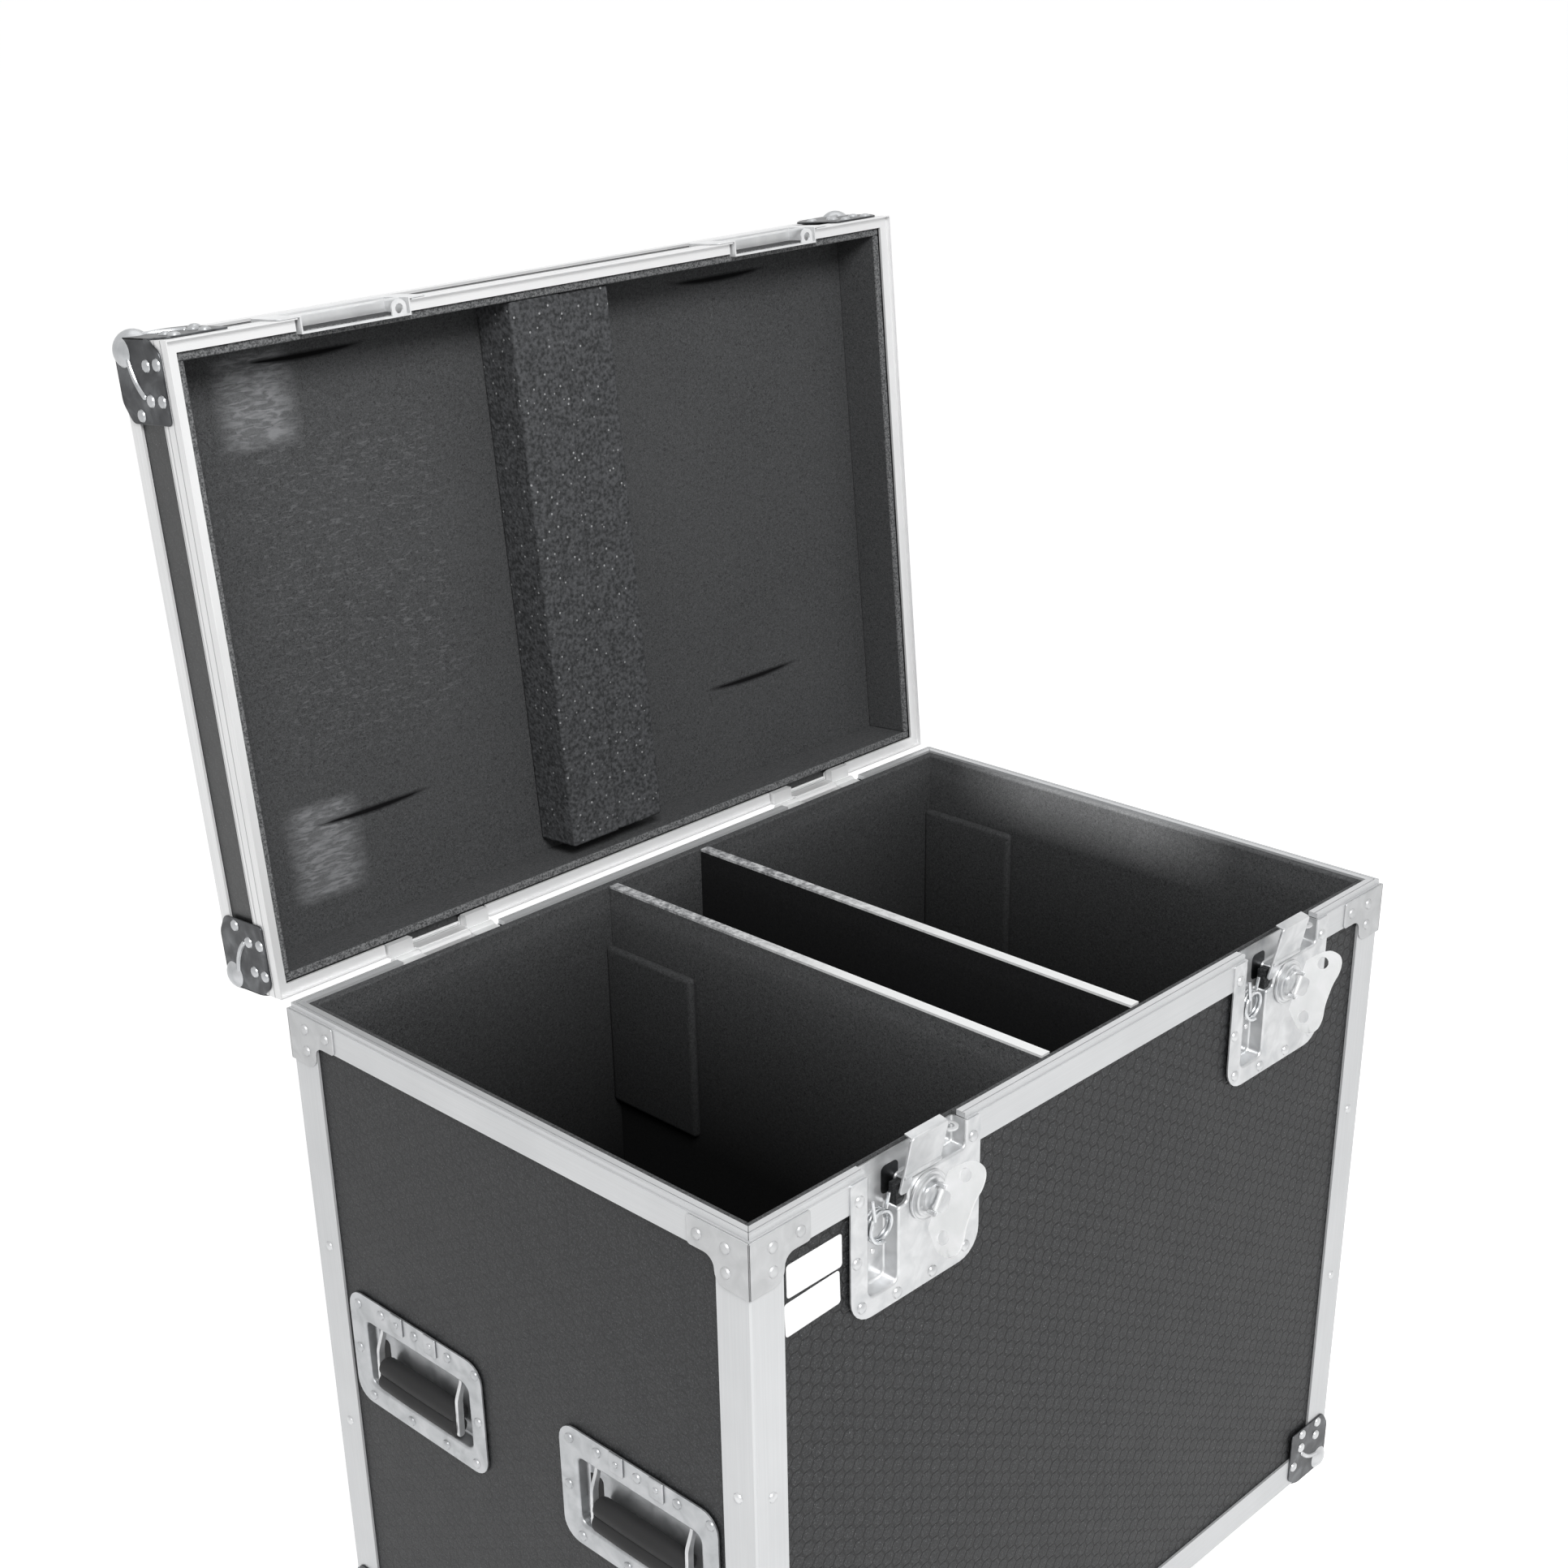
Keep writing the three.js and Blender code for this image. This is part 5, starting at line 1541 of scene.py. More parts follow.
@dataclass
class Latch:
    """A recessed butterfly latch: pressed dish, spring, cam, standing wing and hook strap."""

    name: str
    left: float
    width: float = 129.5
    height: float = 108.0
    top: float = -4.3
    sheet: float = 1.2
    depth: float = 12.7
    dish_edge: float = 1.6
    dish_rounds: tuple[float, ...] = (3.0, 20.0, 20.0, 3.0, 0.0, 4.0, 3.0, 4.0, 3.0, 6.0, 6.0, 0.0)
    well_left: float = 17.5
    well_width: float = 29.0
    well_foot: float = 15.0
    tray_width: float = 97.0
    tray_height: float = 20.0
    bay_width: float = 9.5
    bay_low: float = -41.0
    dish_rivets: tuple[Point, ...] = (
        (8.5, -19.0), (122.0, -19.0), (6.0, -65.0), (10.5, -101.0), (45.5, -106.0), (81.5, -106.0),
        (115.5, -102.0),
    )
    small_rivets: tuple[Point, ...] = ((123.0, -68.0), (21.0, -62.0))
    small_rivet_radius: float = 2.2
    small_rivet_height: float = 1.0
    opening: Rectangle = (43.0, -35.0, 60.0, -14.0)
    opening_round: float = 4.0
    eye_at: Point = (104.0, -7.0)
    eye_half: float = 6.5
    eye_out: float = 1.2
    eye_round: float = 6.2
    eye_hole_out: float = -5.3
    eye_hole: float = 3.6
    eye_sheet: float = 1.5
    spring_middle: Triple = (30.0, -48.0, -4.0)
    spring_start: Triple = (41.0, -48.0, -6.0)
    spring_turn: float = 1000.0
    spring_lift: float = 8.0
    spring_wire: float = 1.3
    spring_legs: tuple[tuple[Triple, Triple], ...] = (
        ((41.0, -48.0, -6.0), (44.0, -30.0, -5.0)), ((22.5, -40.0, 2.0), (20.0, -24.0, 2.0)),
    )
    hub: Point = (75.0, -43.0)
    turn: float = 60.0
    cam_profile: tuple[Point, ...] = (
        (0, 9.4), (4.0, 9.2), (7.6, 8.4), (9.4, 7.2), (9.8, 5.6), (12.0, 5.4), (13.4, 5.9), (14.6, 5.2),
        (14.9, 3.2), (16.6, 3.0), (17.4, 3.5), (18.0, 3.1), (18.0, 1.5), (0, 1.5),
    )
    cam_ear: tuple[Triple, Triple] = ((-1.5, -2.8, 7.0), (1.5, 2.8, 14.0))
    cam_ears_across: float = 9.6
    wing_root: float = 20.0
    wing_width: float = 68.0
    wing_height: float = 29.0
    wing_sheet: float = 1.8
    wing_shares: tuple[Point, ...] = (
        (0.72, 0.14), (0.93, 0.42), (1.0, 0.68), (0.88, 0.95), (0.56, 1.0), (0.26, 0.92),
    )
    wing_rounds: tuple[float, ...] = (1.0, 3.0, 4.0, 5.0, 5.0, 4.0, 4.0)
    wing_hole: Triple = (22.0, 13.5, 4.8)
    wing_pivot: float = 11.3
    wing_pin_half: float = 8.0
    wing_pin_radius: float = 1.5
    fork: Point = (7.4, 9.0)
    fork_rounds: tuple[float, ...] = (0.8, 4.0, 4.0, 0.8)
    hook_across: float = 67.5
    hook_width: float = 37.0
    hook_pivot: Point = (-19.0, 2.5)
    hook_top: float = 13.2
    hook_tail: Point = (9.5, 15.0)
    hook_notch: Point = (1.0, 6.0)
    hook_rounds: tuple[float, ...] = (4.0, 4.0, 2.0, 2.0, 3.0, 3.0, 6.0)
    hook_sheet: float = 2.0
    hook_out: float = 1.5
    hook_barrel: float = 2.2
    lip_thickness: float = 1.3
    lip_back: float = -4.5
    lip_inset: float = 1.0
    hook_tilt: float = 12.0

    def dish(self) -> BMesh:
        """The flange with its deep well and the tray under the rim, its rivets and its padlock eye.

        Returns:
            The dish.
        """
        low, high = self.top - self.height, self.top
        well = (self.well_left, self.well_left + self.well_width)
        tray, bay = self.well_left + self.tray_width, well[1] + self.bay_width
        tray_low, well_low = high - self.tray_height, low + self.well_foot
        points = [(0, high), (0, low), (self.width, low), (self.width, high), (tray, high), (tray, tray_low),
                  (bay, tray_low), (bay, self.bay_low), (well[1], self.bay_low), (well[1], well_low),
                  (well[0], well_low), (well[0], high)]
        bm = flat(points, self.dish_rounds, 6)
        mouth = [e for e in bm.edges if all(self.in_mouth(v.co) for v in e.verts)]
        verts, edges = sunk(bm, mouth, self.depth)
        ends = [v for v in verts if abs(v.co.y - high) < NEAR]
        if len(ends) == 2:
            edges.append(bm.edges.new(ends))
        floor = [e for e in edges if all(abs(v.co.z + self.depth) < NEAR for v in e.verts)]
        pressed(bm, floor, self.dish_edge, self.sheet)
        absorb(bm, rivets(self.dish_rivets, self.sheet))
        absorb(bm, rivets(self.small_rivets, self.sheet, self.small_rivet_radius, self.small_rivet_height))
        absorb(bm, self.eye())
        return bm

    def in_mouth(self, co: Vector) -> bool:
        """Tells the mouth's outline from the flange's own edge.

        Args:
            co: a point of either.

        Returns:
            True for a point on the mouth's outline.
        """
        right = (self.well_left + self.tray_width + self.width) / 2
        above = co.y > self.top - self.height + self.well_foot / 2
        return self.well_left / 2 < co.x < right and above

    def tray_opening(self) -> BMesh:
        """The opening in the tray's floor beside the hook's pin, drawn as a plate of painted shade."""
        return opening(self.opening, self.opening_round, 4, self.sheet - self.depth)

    def spring(self) -> BMesh:
        """The torsion spring's coil and its two legs, standing in the well.

        Returns:
            The spring.
        """
        bm = swept(self.spring_middle, (0, 0, 1), self.spring_start, self.spring_turn, self.spring_wire, 54,
                   self.spring_lift)
        for start, end in self.spring_legs:
            absorb(bm, rod(start, end, self.spring_wire, 8))
        return bm

    def cam(self) -> BMesh:
        """The turning disc, its stepped knob and the two ears of the wing's pin.

        Returns:
            The cam, round its own axis.
        """
        bm = turned(self.cam_profile, 40)
        turn = Matrix.Rotation(math.radians(self.turn), 4, "Z")
        for side in (-1, 1):
            place = turn @ Matrix.Translation((side * self.cam_ears_across, 0, 0))
            absorb(bm, soften(box(*self.cam_ear), 0.6), place)
        return bm

    def wing(self) -> BMesh:
        """The wing plate, drawn flat and then stood up on its pin.

        Returns:
            The wing and its pin.
        """
        w, h = self.wing_width / 2, self.wing_height
        side = [(self.wing_root, 0.0), *((w * u, h * v) for u, v in self.wing_shares)]
        fork = [(self.fork[0], 0.0), self.fork]
        points = side + [(-u, v) for u, v in reversed(side)] + [(-u, v) for u, v in fork] + fork[::-1]
        outline = flat(points, self.wing_rounds + self.wing_rounds[::-1] + self.fork_rounds, 4)
        across, rise, radius = self.wing_hole
        plate = thicken(holed(outline, [(sign * across, rise, radius) for sign in (-1, 1)]), self.wing_sheet)
        bmesh.ops.translate(plate, vec=(0, 0, -self.wing_sheet / 2), verts=plate.verts)
        pin = rod((-self.wing_pin_half, 0, 0), (self.wing_pin_half, 0, 0), self.wing_pin_radius)
        stand = axes((1, 0, 0), (0, 0, 1), (0, -1, 0), (0, 0, self.wing_pivot))
        return moved(stand, soften(plate, 0.45, 2, 50), pin)

    def hook(self) -> BMesh:
        """The hook strap on its pin, and the lip that takes the keeper.

        Returns:
            The hook, standing upright.
        """
        left, right = self.hook_across - self.hook_width / 2, self.hook_across + self.hook_width / 2
        low, high = self.hook_pivot[0], self.hook_top
        foot, tail = left + self.hook_tail[0], low - self.hook_tail[1]
        points = [(left - self.hook_notch[0], tail), (foot, tail), (foot, low), (right, low), (right, high),
                  (left, high), (left, low + self.hook_notch[1])]
        bm = soften(thicken(flat(points, self.hook_rounds, 4), self.hook_sheet), 0.5)
        bmesh.ops.translate(bm, vec=(0, 0, self.hook_out), verts=bm.verts)
        lip_top, out = high - 0.1, self.hook_pivot[1]
        lip_low = (left + self.lip_inset, lip_top - self.lip_thickness, self.lip_back)
        absorb(bm, soften(box(lip_low, (right - self.lip_inset, lip_top, out)), 0.4))
        absorb(bm, rod((left + 0.3, low, out), (right - 0.3, low, out), self.hook_barrel))
        return bm

    def eye(self) -> BMesh:
        """A padlock eye: a level tab with a round end and a hole.

        Returns:
            The tab, standing out of the dish.
        """
        across, low = self.eye_at
        left, right = across - self.eye_half, across + self.eye_half
        points = [(left, -self.depth), (right, -self.depth), (right, self.eye_out), (left, self.eye_out)]
        plate = flat(points, [0, 0, self.eye_round, self.eye_round], 6)
        plate = thicken(holed(plate, [(across, self.eye_hole_out, self.eye_hole)], 16), self.eye_sheet)
        return moved(axes((1, 0, 0), (0, 0, 1), (0, 1, 0), (0, low, 0)), soften(plate, 0.3, 2, 50))

    def build(self, setting: Setting, finishes: Finishes) -> None:
        """Places the latch.

        Args:
            setting: where the case stands.
            finishes: its materials.
        """
        face = setting.face(Wall.FRONT, setting.sizes.base_height) @ Matrix.Translation((self.left, 0, 0))
        hub = face @ Matrix.Translation((*self.hub, 0))
        turn = Matrix.Rotation(math.radians(self.turn), 4, "Z")
        pivot = Matrix.Translation((0, *self.hook_pivot))
        tilt = pivot @ Matrix.Rotation(math.radians(self.hook_tilt), 4, "X") @ pivot.inverted()
        pieces = (
            # A dark plate of painted shade in the tray's opening.
            ("latch_tray_opening_shade", self.tray_opening(), finishes.zinc_painted_dark, "", face),
            ("pressed_latch_dish", self.dish(), finishes.zinc, "latch_dish", face),
            ("latch_spring", self.spring(), finishes.wire, "", face),
            ("turned_latch_cam", self.cam(), finishes.zinc, "latch_cam", hub),
            ("pressed_latch_wing", self.wing(), finishes.wing, "latch_wing", hub @ turn),
            ("pressed_latch_hook", self.hook(), finishes.zinc, "latch_hook", face @ tilt),
        )
        for name, bm, look, stands_for, place in pieces:
            node = f"{stands_for}_{self.name}"
            body = node if stands_for and stands_for != "latch_dish" else "base"
            hides = [node] if stands_for else []
            publish(f"{name}_{self.name}", bm, look, body, place, hides, "zinc_steel")


@dataclass
class SideHandle:
    """A recessed, sprung side handle: pressed dish and a rubber grip."""

    width: float = 160.0
    height: float = 101.0
    drop: float = 234.0
    margin: float = 36.0
    behind: float = -0.8
    round: float = 16.0
    sheet: float = 1.2
    depth: float = 10.6
    rim: float = 17.0
    brow: float = 24.0
    foot: float = 18.0
    mouth_round: float = 7.0
    well_taper: Triple = (0.975, 0.955, 1.0)
    dish_edge: float = 2.2
    rivets: tuple[Point, ...] = (
        (11.0, -11.0), (40.0, -9.0), (81.0, -9.0), (121.0, -9.0), (153.0, -9.5),
        (7.5, -53.0), (152.5, -52.0), (19.0, -93.5), (67.0, -94.0), (110.0, -94.0), (146.0, -93.0),
    )
    rivet_radius: float = 4.2
    rivet_height: float = 2.0
    clips: tuple[float, ...] = (54.0, 94.5)
    clip_width: float = 14.0
    clip_drop: float = 16.0
    clip_over: float = 0.6
    clip_sheet: float = 1.6
    clip_dome: Triple = (-7.5, 2.6, 1.2)
    opening: Rectangle = (18.0, -66.0, 33.0, -42.0)
    opening_round: float = 4.0
    grip_length: float = 93.0
    grip_middle: float = 83.5
    roll_radius: float = 8.2
    rolls_at: tuple[Point, Point] = ((-57.0, -0.7), (-68.5, 1.1))
    roll_ends: tuple[Point, ...] = ((0.66, 0.0), (0.9, 1.4), (0.98, 4.0))
    roll_belly_shares: Point = (1.03, 0.3)
    arm_sheet: float = 3.0
    arm_rounds: tuple[float, ...] = (2.5, 2.0, 2.0, 3.0, 2.5, 2.5, 3.0)
    arm_top: float = -21.0
    arm_past: float = 5.5
    arm_bends: Point = (6.0, 20.0)
    arm_outs: tuple[float, ...] = (-7.2, -1.4, -1.2, 4.4, 5.4, -0.6, -1.6)
    pin: Point = (-25.0, -4.2)
    pin_past: float = 4.5
    pin_radius: float = 2.0

    def dish(self) -> BMesh:
        """The flange with a drawn well, its rivets and the two clips over the pin.

        Returns:
            The dish.
        """
        w, h = self.width, self.height
        bm = flat([(0, -h), (w, -h), (w, 0), (0, 0)], [self.round] * 4, 6)
        lo, hi = (self.rim, -h + self.foot), (w - self.rim, -self.brow)
        mouth = flat([lo, (hi[0], lo[1]), hi, (lo[0], hi[1])], [self.mouth_round] * 4, 6)
        for outline in (bm, mouth):
            bmesh.ops.delete(outline, geom=outline.faces[:], context="FACES_ONLY")
        absorb(bm, mouth)
        bmesh.ops.bridge_loops(bm, edges=bm.edges[:])

        def in_mouth(vert: BMVert) -> bool:
            """True for a point on the mouth's outline."""
            return all(low - NEAR < at < high + NEAR for low, at, high in zip(lo, vert.co, hi))

        ring = [e for e in bm.edges if len(e.link_faces) == 1 and all(in_mouth(v) for v in e.verts)]
        verts, edges = sunk(bm, ring, self.depth)
        back = Matrix.Translation((-(lo[0] + hi[0]) / 2, -(lo[1] + hi[1]) / 2, 0))
        bmesh.ops.scale(bm, vec=self.well_taper, space=back, verts=verts)
        deep = set(verts)
        pressed(bm, [e for e in edges if deep.issuperset(e.verts)], self.dish_edge, self.sheet)
        absorb(bm, rivets(self.rivets, self.sheet, self.rivet_radius, self.rivet_height))
        out = self.sheet + self.clip_sheet
        rise, radius, height = self.clip_dome
        for left in self.clips:
            right = left + self.clip_width
            absorb(bm, soften(box((left, -self.clip_drop, self.sheet), (right, self.clip_over, out)), 1.1, 3))
            absorb(bm, dome(Matrix.Translation(((left + right) / 2, rise, out)), radius, height))
        return bm

    def well_opening(self) -> BMesh:
        """The opening for the spring's end in the well's floor, drawn as a plate of painted shade."""
        return opening(self.opening, self.opening_round, 5, self.sheet - self.depth)

    def rolls(self) -> BMesh:
        """The two rubber rolls of the grip, slightly fuller in the middle.

        Returns:
            The rolls.
        """
        half, r = self.grip_length / 2, self.roll_radius
        belly, share = self.roll_belly_shares
        ends = [(0.0, half), *((r * wide, half - inset) for wide, inset in self.roll_ends)]
        side = [*ends, (r * belly, half * share)]
        profile = [(radius, -at) for radius, at in side] + side[::-1]
        bm = new_mesh()
        lying = Matrix.Rotation(math.pi / 2, 4, "Y")
        for v, out in self.rolls_at:
            absorb(bm, turned(profile, 24), Matrix.Translation((self.grip_middle, v, out)) @ lying)
        return bm

    def arms(self) -> BMesh:
        """The two pressed arms at the rolls' ends, and the pin they swing on.

        Returns:
            The arms and the pin.
        """
        low, high = self.rolls_at[1][0] - self.arm_past, self.arm_top
        bends = [high - bend for bend in self.arm_bends]
        points = list(zip([high, high, *bends, low, low, bends[1]], self.arm_outs))
        left, right = self.grip_middle - self.grip_length / 2, self.grip_middle + self.grip_length / 2
        bm = rod((left - self.pin_past, *self.pin), (right + self.pin_past, *self.pin), self.pin_radius)
        for start in (left - self.arm_sheet, right):
            arm = soften(thicken(flat(points, self.arm_rounds, 4), self.arm_sheet), 0.6)
            absorb(bm, arm, axes((0, 1, 0), (0, 0, 1), (1, 0, 0), (start, 0, 0)))
        return bm

    def build(self, setting: Setting, finishes: Finishes) -> None:
        """Places two handles on each side.

        Args:
            setting: where the case stands.
            finishes: its materials.
        """
        sizes = setting.sizes
        far = sizes.depth - self.margin - self.width
        for wall in (Wall.LEFT, Wall.RIGHT):
            for end in ("back", "front"):
                u = self.margin if (end == "back") == (wall is Wall.LEFT) else far
                shift = Matrix.Translation((u, 0, self.behind))
                face = setting.face(wall, sizes.base_height - self.drop) @ shift
                tag = f"{wall.value}_{end}"
                grip = f"handle_grip_{tag}"
                dish = f"handle_dish_{tag}"
                pieces = (
                    (f"pressed_{dish}", self.dish(), finishes.dish, "base", [dish], "zinc_steel"),
                    # A black plate of painted shade in the well's opening.
                    (f"handle_well_opening_shade_{tag}", self.well_opening(), finishes.rubber, "base", [],
                     "zinc_steel"),
                    (f"rubber_{grip}", self.rolls(), finishes.rubber, grip, [grip], "rubber"),
                    (f"sprung_arms_{grip}", self.arms(), finishes.zinc, grip, [], "zinc_steel"),
                )
                for name, bm, look, body, hides, slot in pieces:
                    publish(name, bm, look, body, face, hides, slot)


@dataclass
class Lining:
    """Felt-covered boards inside the base, hollowed at the back behind the latch and handle dishes."""

    setting: Setting
    finishes: Finishes
    skin: float = 2.0
    edge: float = 1.6
    latch_wells: tuple[Rectangle, ...] = ((107.0, 480.0, 206.5, 600.0), (537.0, 480.0, 636.5, 600.0))
    handle_wells: tuple[Rectangle, ...] = ((31.0, 242.0, 201.0, 348.0), (278.0, 242.0, 448.0, 348.0))
    pad_front: float = 363.0
    pad_back: float = 464.0
    pad_top: float = 526.0
    pad_foot: float = 380.0
    pad_thickness: float = 7.6
    pad_sunk: float = 0.4
    pad_edge: float = 7.0

    @staticmethod
    def packing(low: Point, high: Point, wells: Sequence[Rectangle]) -> Iterable[Rectangle]:
        """Rectangles that fill a board round its wells.

        Args:
            low: the board's lower left corner.
            high: its upper right corner.
            wells: (left, low, right, high) of each well.

        Yields:
            The rectangles, in columns.
        """
        cuts = sorted({low[0], high[0], *(w[0] for w in wells), *(w[2] for w in wells)})
        for left, right in zip(cuts, cuts[1:]):
            foot = low[1]
            column = (w for w in wells if w[0] < (left + right) / 2 < w[2])
            for well in sorted(column, key=lambda w: w[1]):
                if well[1] > foot:
                    yield left, foot, right, well[1]
                foot = max(foot, well[3])
            if foot < high[1]:
                yield left, foot, right, high[1]

    def board(self, low: Point, high: Point, wells: Sequence[Rectangle]) -> BMesh:
        """A wall's board in the wall's own frame, its inner skin whole and its upper edge rounded.

        Args:
            low: the board's lower left corner.
            high: its upper right corner.
            wells: (left, low, right, high) of each well behind the skin.

        Returns:
            The board.
        """
        outer = -self.setting.sizes.lining_face
        inner = outer - self.setting.sizes.lining
        skin = box((*low, inner), (*high, inner + self.skin))

        def upper(edge: BMEdge) -> bool:
            """True for the edge along the top of the inner face."""
            return all(v.co.y > high[1] - NEAR and v.co.z < inner + NEAR for v in edge.verts)

        bm = soften(skin, self.edge, 4, chosen=upper)
        for left, foot, right, top in self.packing(low, high, wells):
            absorb(bm, box((left, foot, inner + self.skin), (right, top, outer)))
        return bm

    def pads(self) -> BMesh:
        """Two felt blocks near the back of the outer bays, their edges rounded.

        Returns:
            The blocks, in the case's axes.
        """
        sizes = self.setting.sizes
        divider = (self.setting.world.inverted() @ Vector(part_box("divider_left")[0])).x
        wall = sizes.width / 2 - sizes.lining_face - sizes.lining
        front = -sizes.depth / 2
        bm = new_mesh()
        for right in (divider, wall):
            low = (right - self.pad_thickness, front + self.pad_front, self.pad_foot)
            high = (right + self.pad_sunk, front + self.pad_back, self.pad_top)
            absorb(bm, soften(box(low, high), self.pad_edge, 5))
        return bm

    def build(self) -> None:
        """Four walls, a floor and the pads."""
        sizes, world = self.setting.sizes, self.setting.world
        low, high = (world.inverted() @ Vector(v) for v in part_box("base_lining"))
        gap, t = sizes.lining_face, sizes.lining
        bm = box(low, (high.x, high.y, low.z + t))
        wells = {Wall.FRONT: self.latch_wells, Wall.BACK: ()}
        for wall in Wall:
            start = gap if wall in wells else gap + t
            corners = (start, low.z + t), (sizes.length(wall) - start, high.z)
            board = self.board(*corners, wells.get(wall, self.handle_wells))
            absorb(bm, board, world.inverted() @ self.setting.face(wall))
        absorb(bm, self.pads())
        place = self.setting.base()
        publish("felt_base_lining", bm, self.finishes.felt, "base", place, ["base_lining"], "felt")


@dataclass
class LidLining:
    """The lid's felt lining and the two halves of its foam bar."""

    setting: Setting
    finishes: Finishes
    inset: float = 6.6
    edge: float = 1.2
    bar_offset: float = -11.0
    bar_width: float = 102.0
    bar_heights: Point = (43.0, 41.0)
    bar_margin: float = 11.0
    bar_gap: float = 0.2
    bar_edge: float = 2.5

    def build(self) -> None:
        """Felt boards in the lid, and the foam bar on its roof."""
        sizes, place = self.setting.sizes, self.setting.shut_lid()
        inner, t = sizes.lining_face, sizes.lining
        x, y = sizes.width / 2 - inner, sizes.depth / 2 - inner
        low, high = sizes.lid_floor + self.inset, sizes.lid_top - inner
        roof = high - t
        bm = new_mesh()
        boards = (
            ((-x, -y, roof), (x, y, high)),
            ((-x, -y, low), (x, -y + t, roof)),
            ((-x, y - t, low), (x, y, roof)),
            ((-x, -y + t, low), (-x + t, y - t, roof)),
            ((x - t, -y + t, low), (x, y - t, roof)),
        )
        for corners in boards:
            absorb(bm, soften(box(*corners), self.edge, 3))
        publish("felt_lid_lining", bm, self.finishes.lid_felt, "lid", place, ["lid_lining"], "felt")
        middle, half = self.bar_offset, self.bar_width / 2
        spans = ((middle - half, middle), (middle, middle + half))
        for name, (left, right), rise in zip(("left", "right"), spans, self.bar_heights):
            start = (left + self.bar_gap, -y + t, roof - rise)
            end = (right - self.bar_gap, y - t - self.bar_margin, roof)
            bar = soften(box(start, end), self.bar_edge, 3)
            piece = publish(f"foam_bar_{name}", bar, self.finishes.foam, "lid", place, slot="felt")


@dataclass
class Labels:
    """Two blank paper labels near the front corner."""

    # left, foot, width, height and tilt of each
    places: tuple[tuple[float, float, float, float, float], ...] = (
        (34.5, -63.0, 51.5, 25.0, 0.6), (32.8, -91.5, 51.5, 25.5, 2.2),
    )
    round: float = 2.5
    sheet: float = 0.3
    edge: float = 0.08
    sunk: float = -2.25

    def build(self, setting: Setting, finishes: Finishes) -> None:
        """Lays both labels on the front panel.

        Args:
            setting: where the case stands.
            finishes: its materials.
        """
        face = setting.face(Wall.FRONT, setting.sizes.base_height)
        bm = new_mesh()
        for u, v, width, height, tilt in self.places:
            corners = [(0, 0), (width, 0), (width, height), (0, height)]
            label = soften(thicken(flat(corners, [self.round] * 4, 4), self.sheet), self.edge, 1)
            place = Matrix.Translation((u, v, self.sunk)) @ Matrix.Rotation(math.radians(tilt), 4, "Z")
            absorb(bm, label, place)
        publish("blank_labels", bm, finishes.paper, "base", face)


# ---------------------------------------------------------------- stage


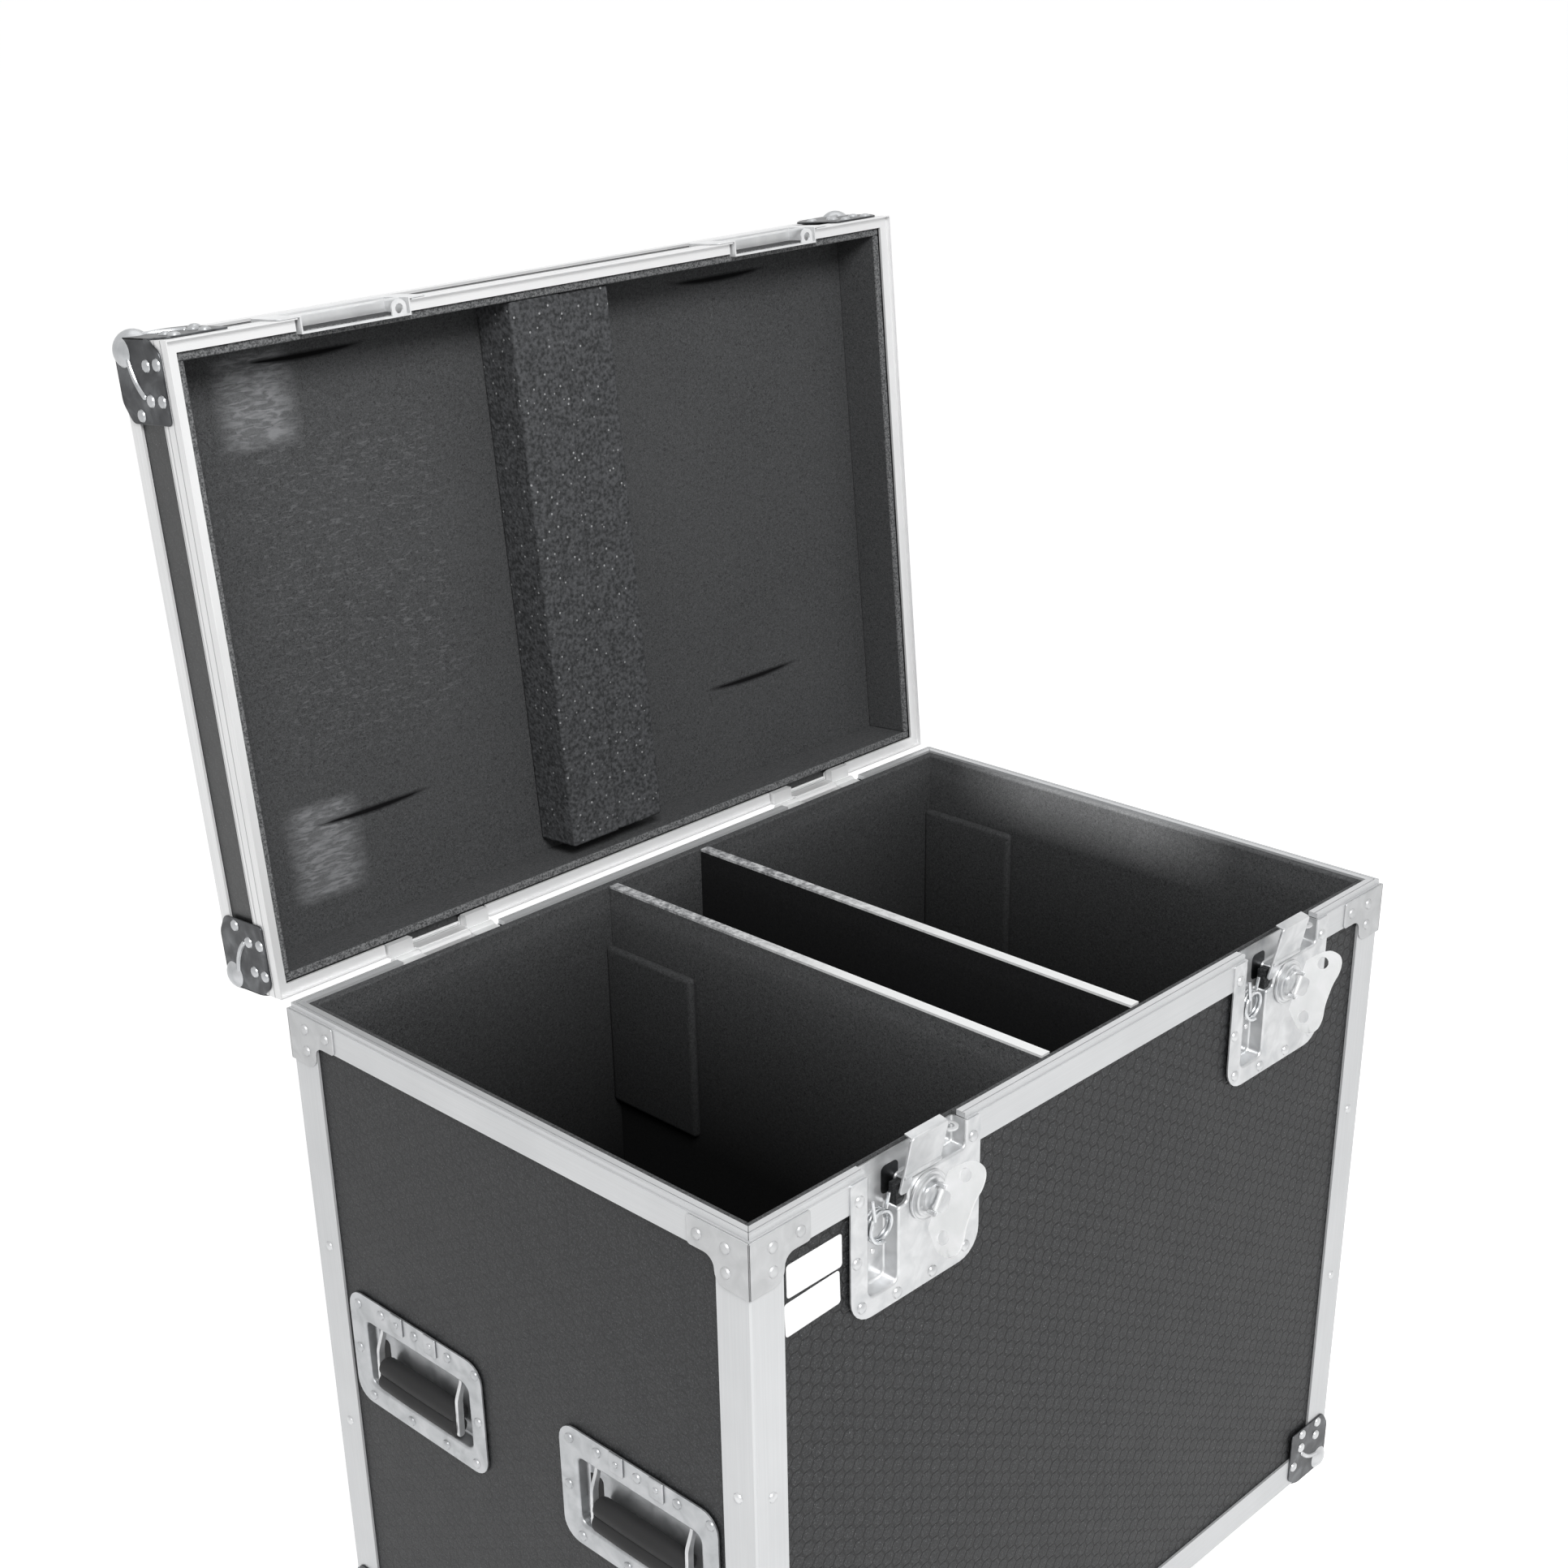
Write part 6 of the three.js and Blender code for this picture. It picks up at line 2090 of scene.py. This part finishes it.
@dataclass(frozen=True)
class Studio:
    """The pale floor, the soft lights and the camera at the photograph's angle."""

    camera_from_rim: Triple = (-1190.59, -1074.89, 743.68)
    camera_turn: Triple = (64.5325, 1.5888, -44.9441)
    lens: float = 52.2655
    sensor: float = 36.0
    shift: Point = (0.03833, 0.11437)
    sight: float = 200.0
    floor_half: float = 40.0
    floor_glow: float = 0.6
    floor_roughness: float = 0.9
    floor_grey: float = 0.9
    surround: float = 0.45
    lit_point: Triple = (0.0, 0.0, 0.6)
    lamps: tuple[tuple[str, Triple, float, float], ...] = (
        ("key", (-1.25, -1.75, 2.77), 1.0, 74.0), ("top", (0.9, 0.9, 3.6), 2.2, 14.0),
    )

    def build(self, setting: Setting) -> None:
        """Makes the camera, the floor and the lights.

        Args:
            setting: where the case stands.
        """
        self.place_camera(setting)
        self.lay_floor()
        self.light()

    def place_camera(self, setting: Setting) -> None:
        """Puts the camera where the photograph was taken from.

        Args:
            setting: where the case stands.
        """
        camera = bpy.data.cameras.new("photo_camera")
        camera.lens, camera.sensor_width = self.lens, self.sensor
        camera.shift_x, camera.shift_y = self.shift
        camera.clip_end = self.sight
        holder = linked("photo_camera", camera)
        from_rim = Vector(self.camera_from_rim) + Vector((0, 0, setting.sizes.base_height))
        holder.location = setting.world @ from_rim
        holder.rotation_euler = tuple(math.radians(a) for a in self.camera_turn)
        bpy.context.scene.camera = holder

    def lay_floor(self) -> None:
        """A wide pale floor that looks white to the camera and keeps the shadow."""
        material = bpy.data.materials.new("studio_floor")
        material.use_nodes = True
        tree = material.node_tree
        inputs = tree.nodes["Principled BSDF"].inputs
        path = add(tree, "LightPath").outputs
        seen = add(tree, "Math", path["Is Camera Ray"], path["Is Glossy Ray"], operation="MAXIMUM")
        settings = {
            "Roughness": self.floor_roughness, "Specular IOR Level": 0.0,
            "Base Color": (self.floor_grey, self.floor_grey, self.floor_grey, 1.0),
            "Emission Color": (1.0, 1.0, 1.0, 1.0),
            "Emission Strength": add(tree, "Math", seen, self.floor_glow, operation="MULTIPLY"),
        }
        for name, value in settings.items():
            feed(inputs[name], value)
        bm = new_mesh()
        bmesh.ops.create_grid(bm, x_segments=2, y_segments=2, size=self.floor_half)
        mesh = bpy.data.meshes.new("studio_floor")
        bm.to_mesh(mesh)
        bm.free()
        mesh.materials.append(material)
        linked("studio_floor", mesh)

    def light(self) -> None:
        """An even white surround and soft lamps, the key one from the camera's side."""
        world = bpy.data.worlds.new("studio")
        bpy.context.scene.world = world
        world.use_nodes = True
        tree = world.node_tree
        inputs = tree.nodes["Background"].inputs
        path = add(tree, "LightPath").outputs
        seen = add(tree, "Math", path["Is Camera Ray"], path["Is Transmission Ray"], operation="MAXIMUM")
        seen = add(tree, "Math", seen, path["Is Glossy Ray"], operation="MAXIMUM")
        strength = add(tree, "Math", seen, 1.0 - self.surround, self.surround, operation="MULTIPLY_ADD")
        feed(inputs["Color"], (1.0, 1.0, 1.0, 1.0))
        feed(inputs["Strength"], strength)
        for name, place, size, power in self.lamps:
            lamp = bpy.data.lights.new(f"{name}_lamp", "AREA")
            lamp.energy, lamp.size = power, size
            holder = linked(f"{name}_lamp", lamp)
            holder.location = place
            aim = Vector(self.lit_point) - Vector(place)
            holder.rotation_euler = aim.to_track_quat("-Z", "Y").to_euler()


def main() -> None:
    """Builds every sub-assembly in order."""
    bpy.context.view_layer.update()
    bpy.context.scene.view_settings.view_transform = "Standard"
    setting = Setting(CaseSizes())
    Studio().build(setting)
    finishes = Finishes(setting)
    CaseShell(setting, finishes).build()
    CornerBrace().build(setting, finishes)
    BallCorner().build(setting, finishes)
    for name, left in (("left", 90.75), ("right", 520.75)):
        Latch(name, left).build(setting, finishes)
    SideHandle().build(setting, finishes)
    Lining(setting, finishes).build()
    LidLining(setting, finishes).build()
    Labels().build(setting, finishes)


if __name__ == "__main__":
    main()
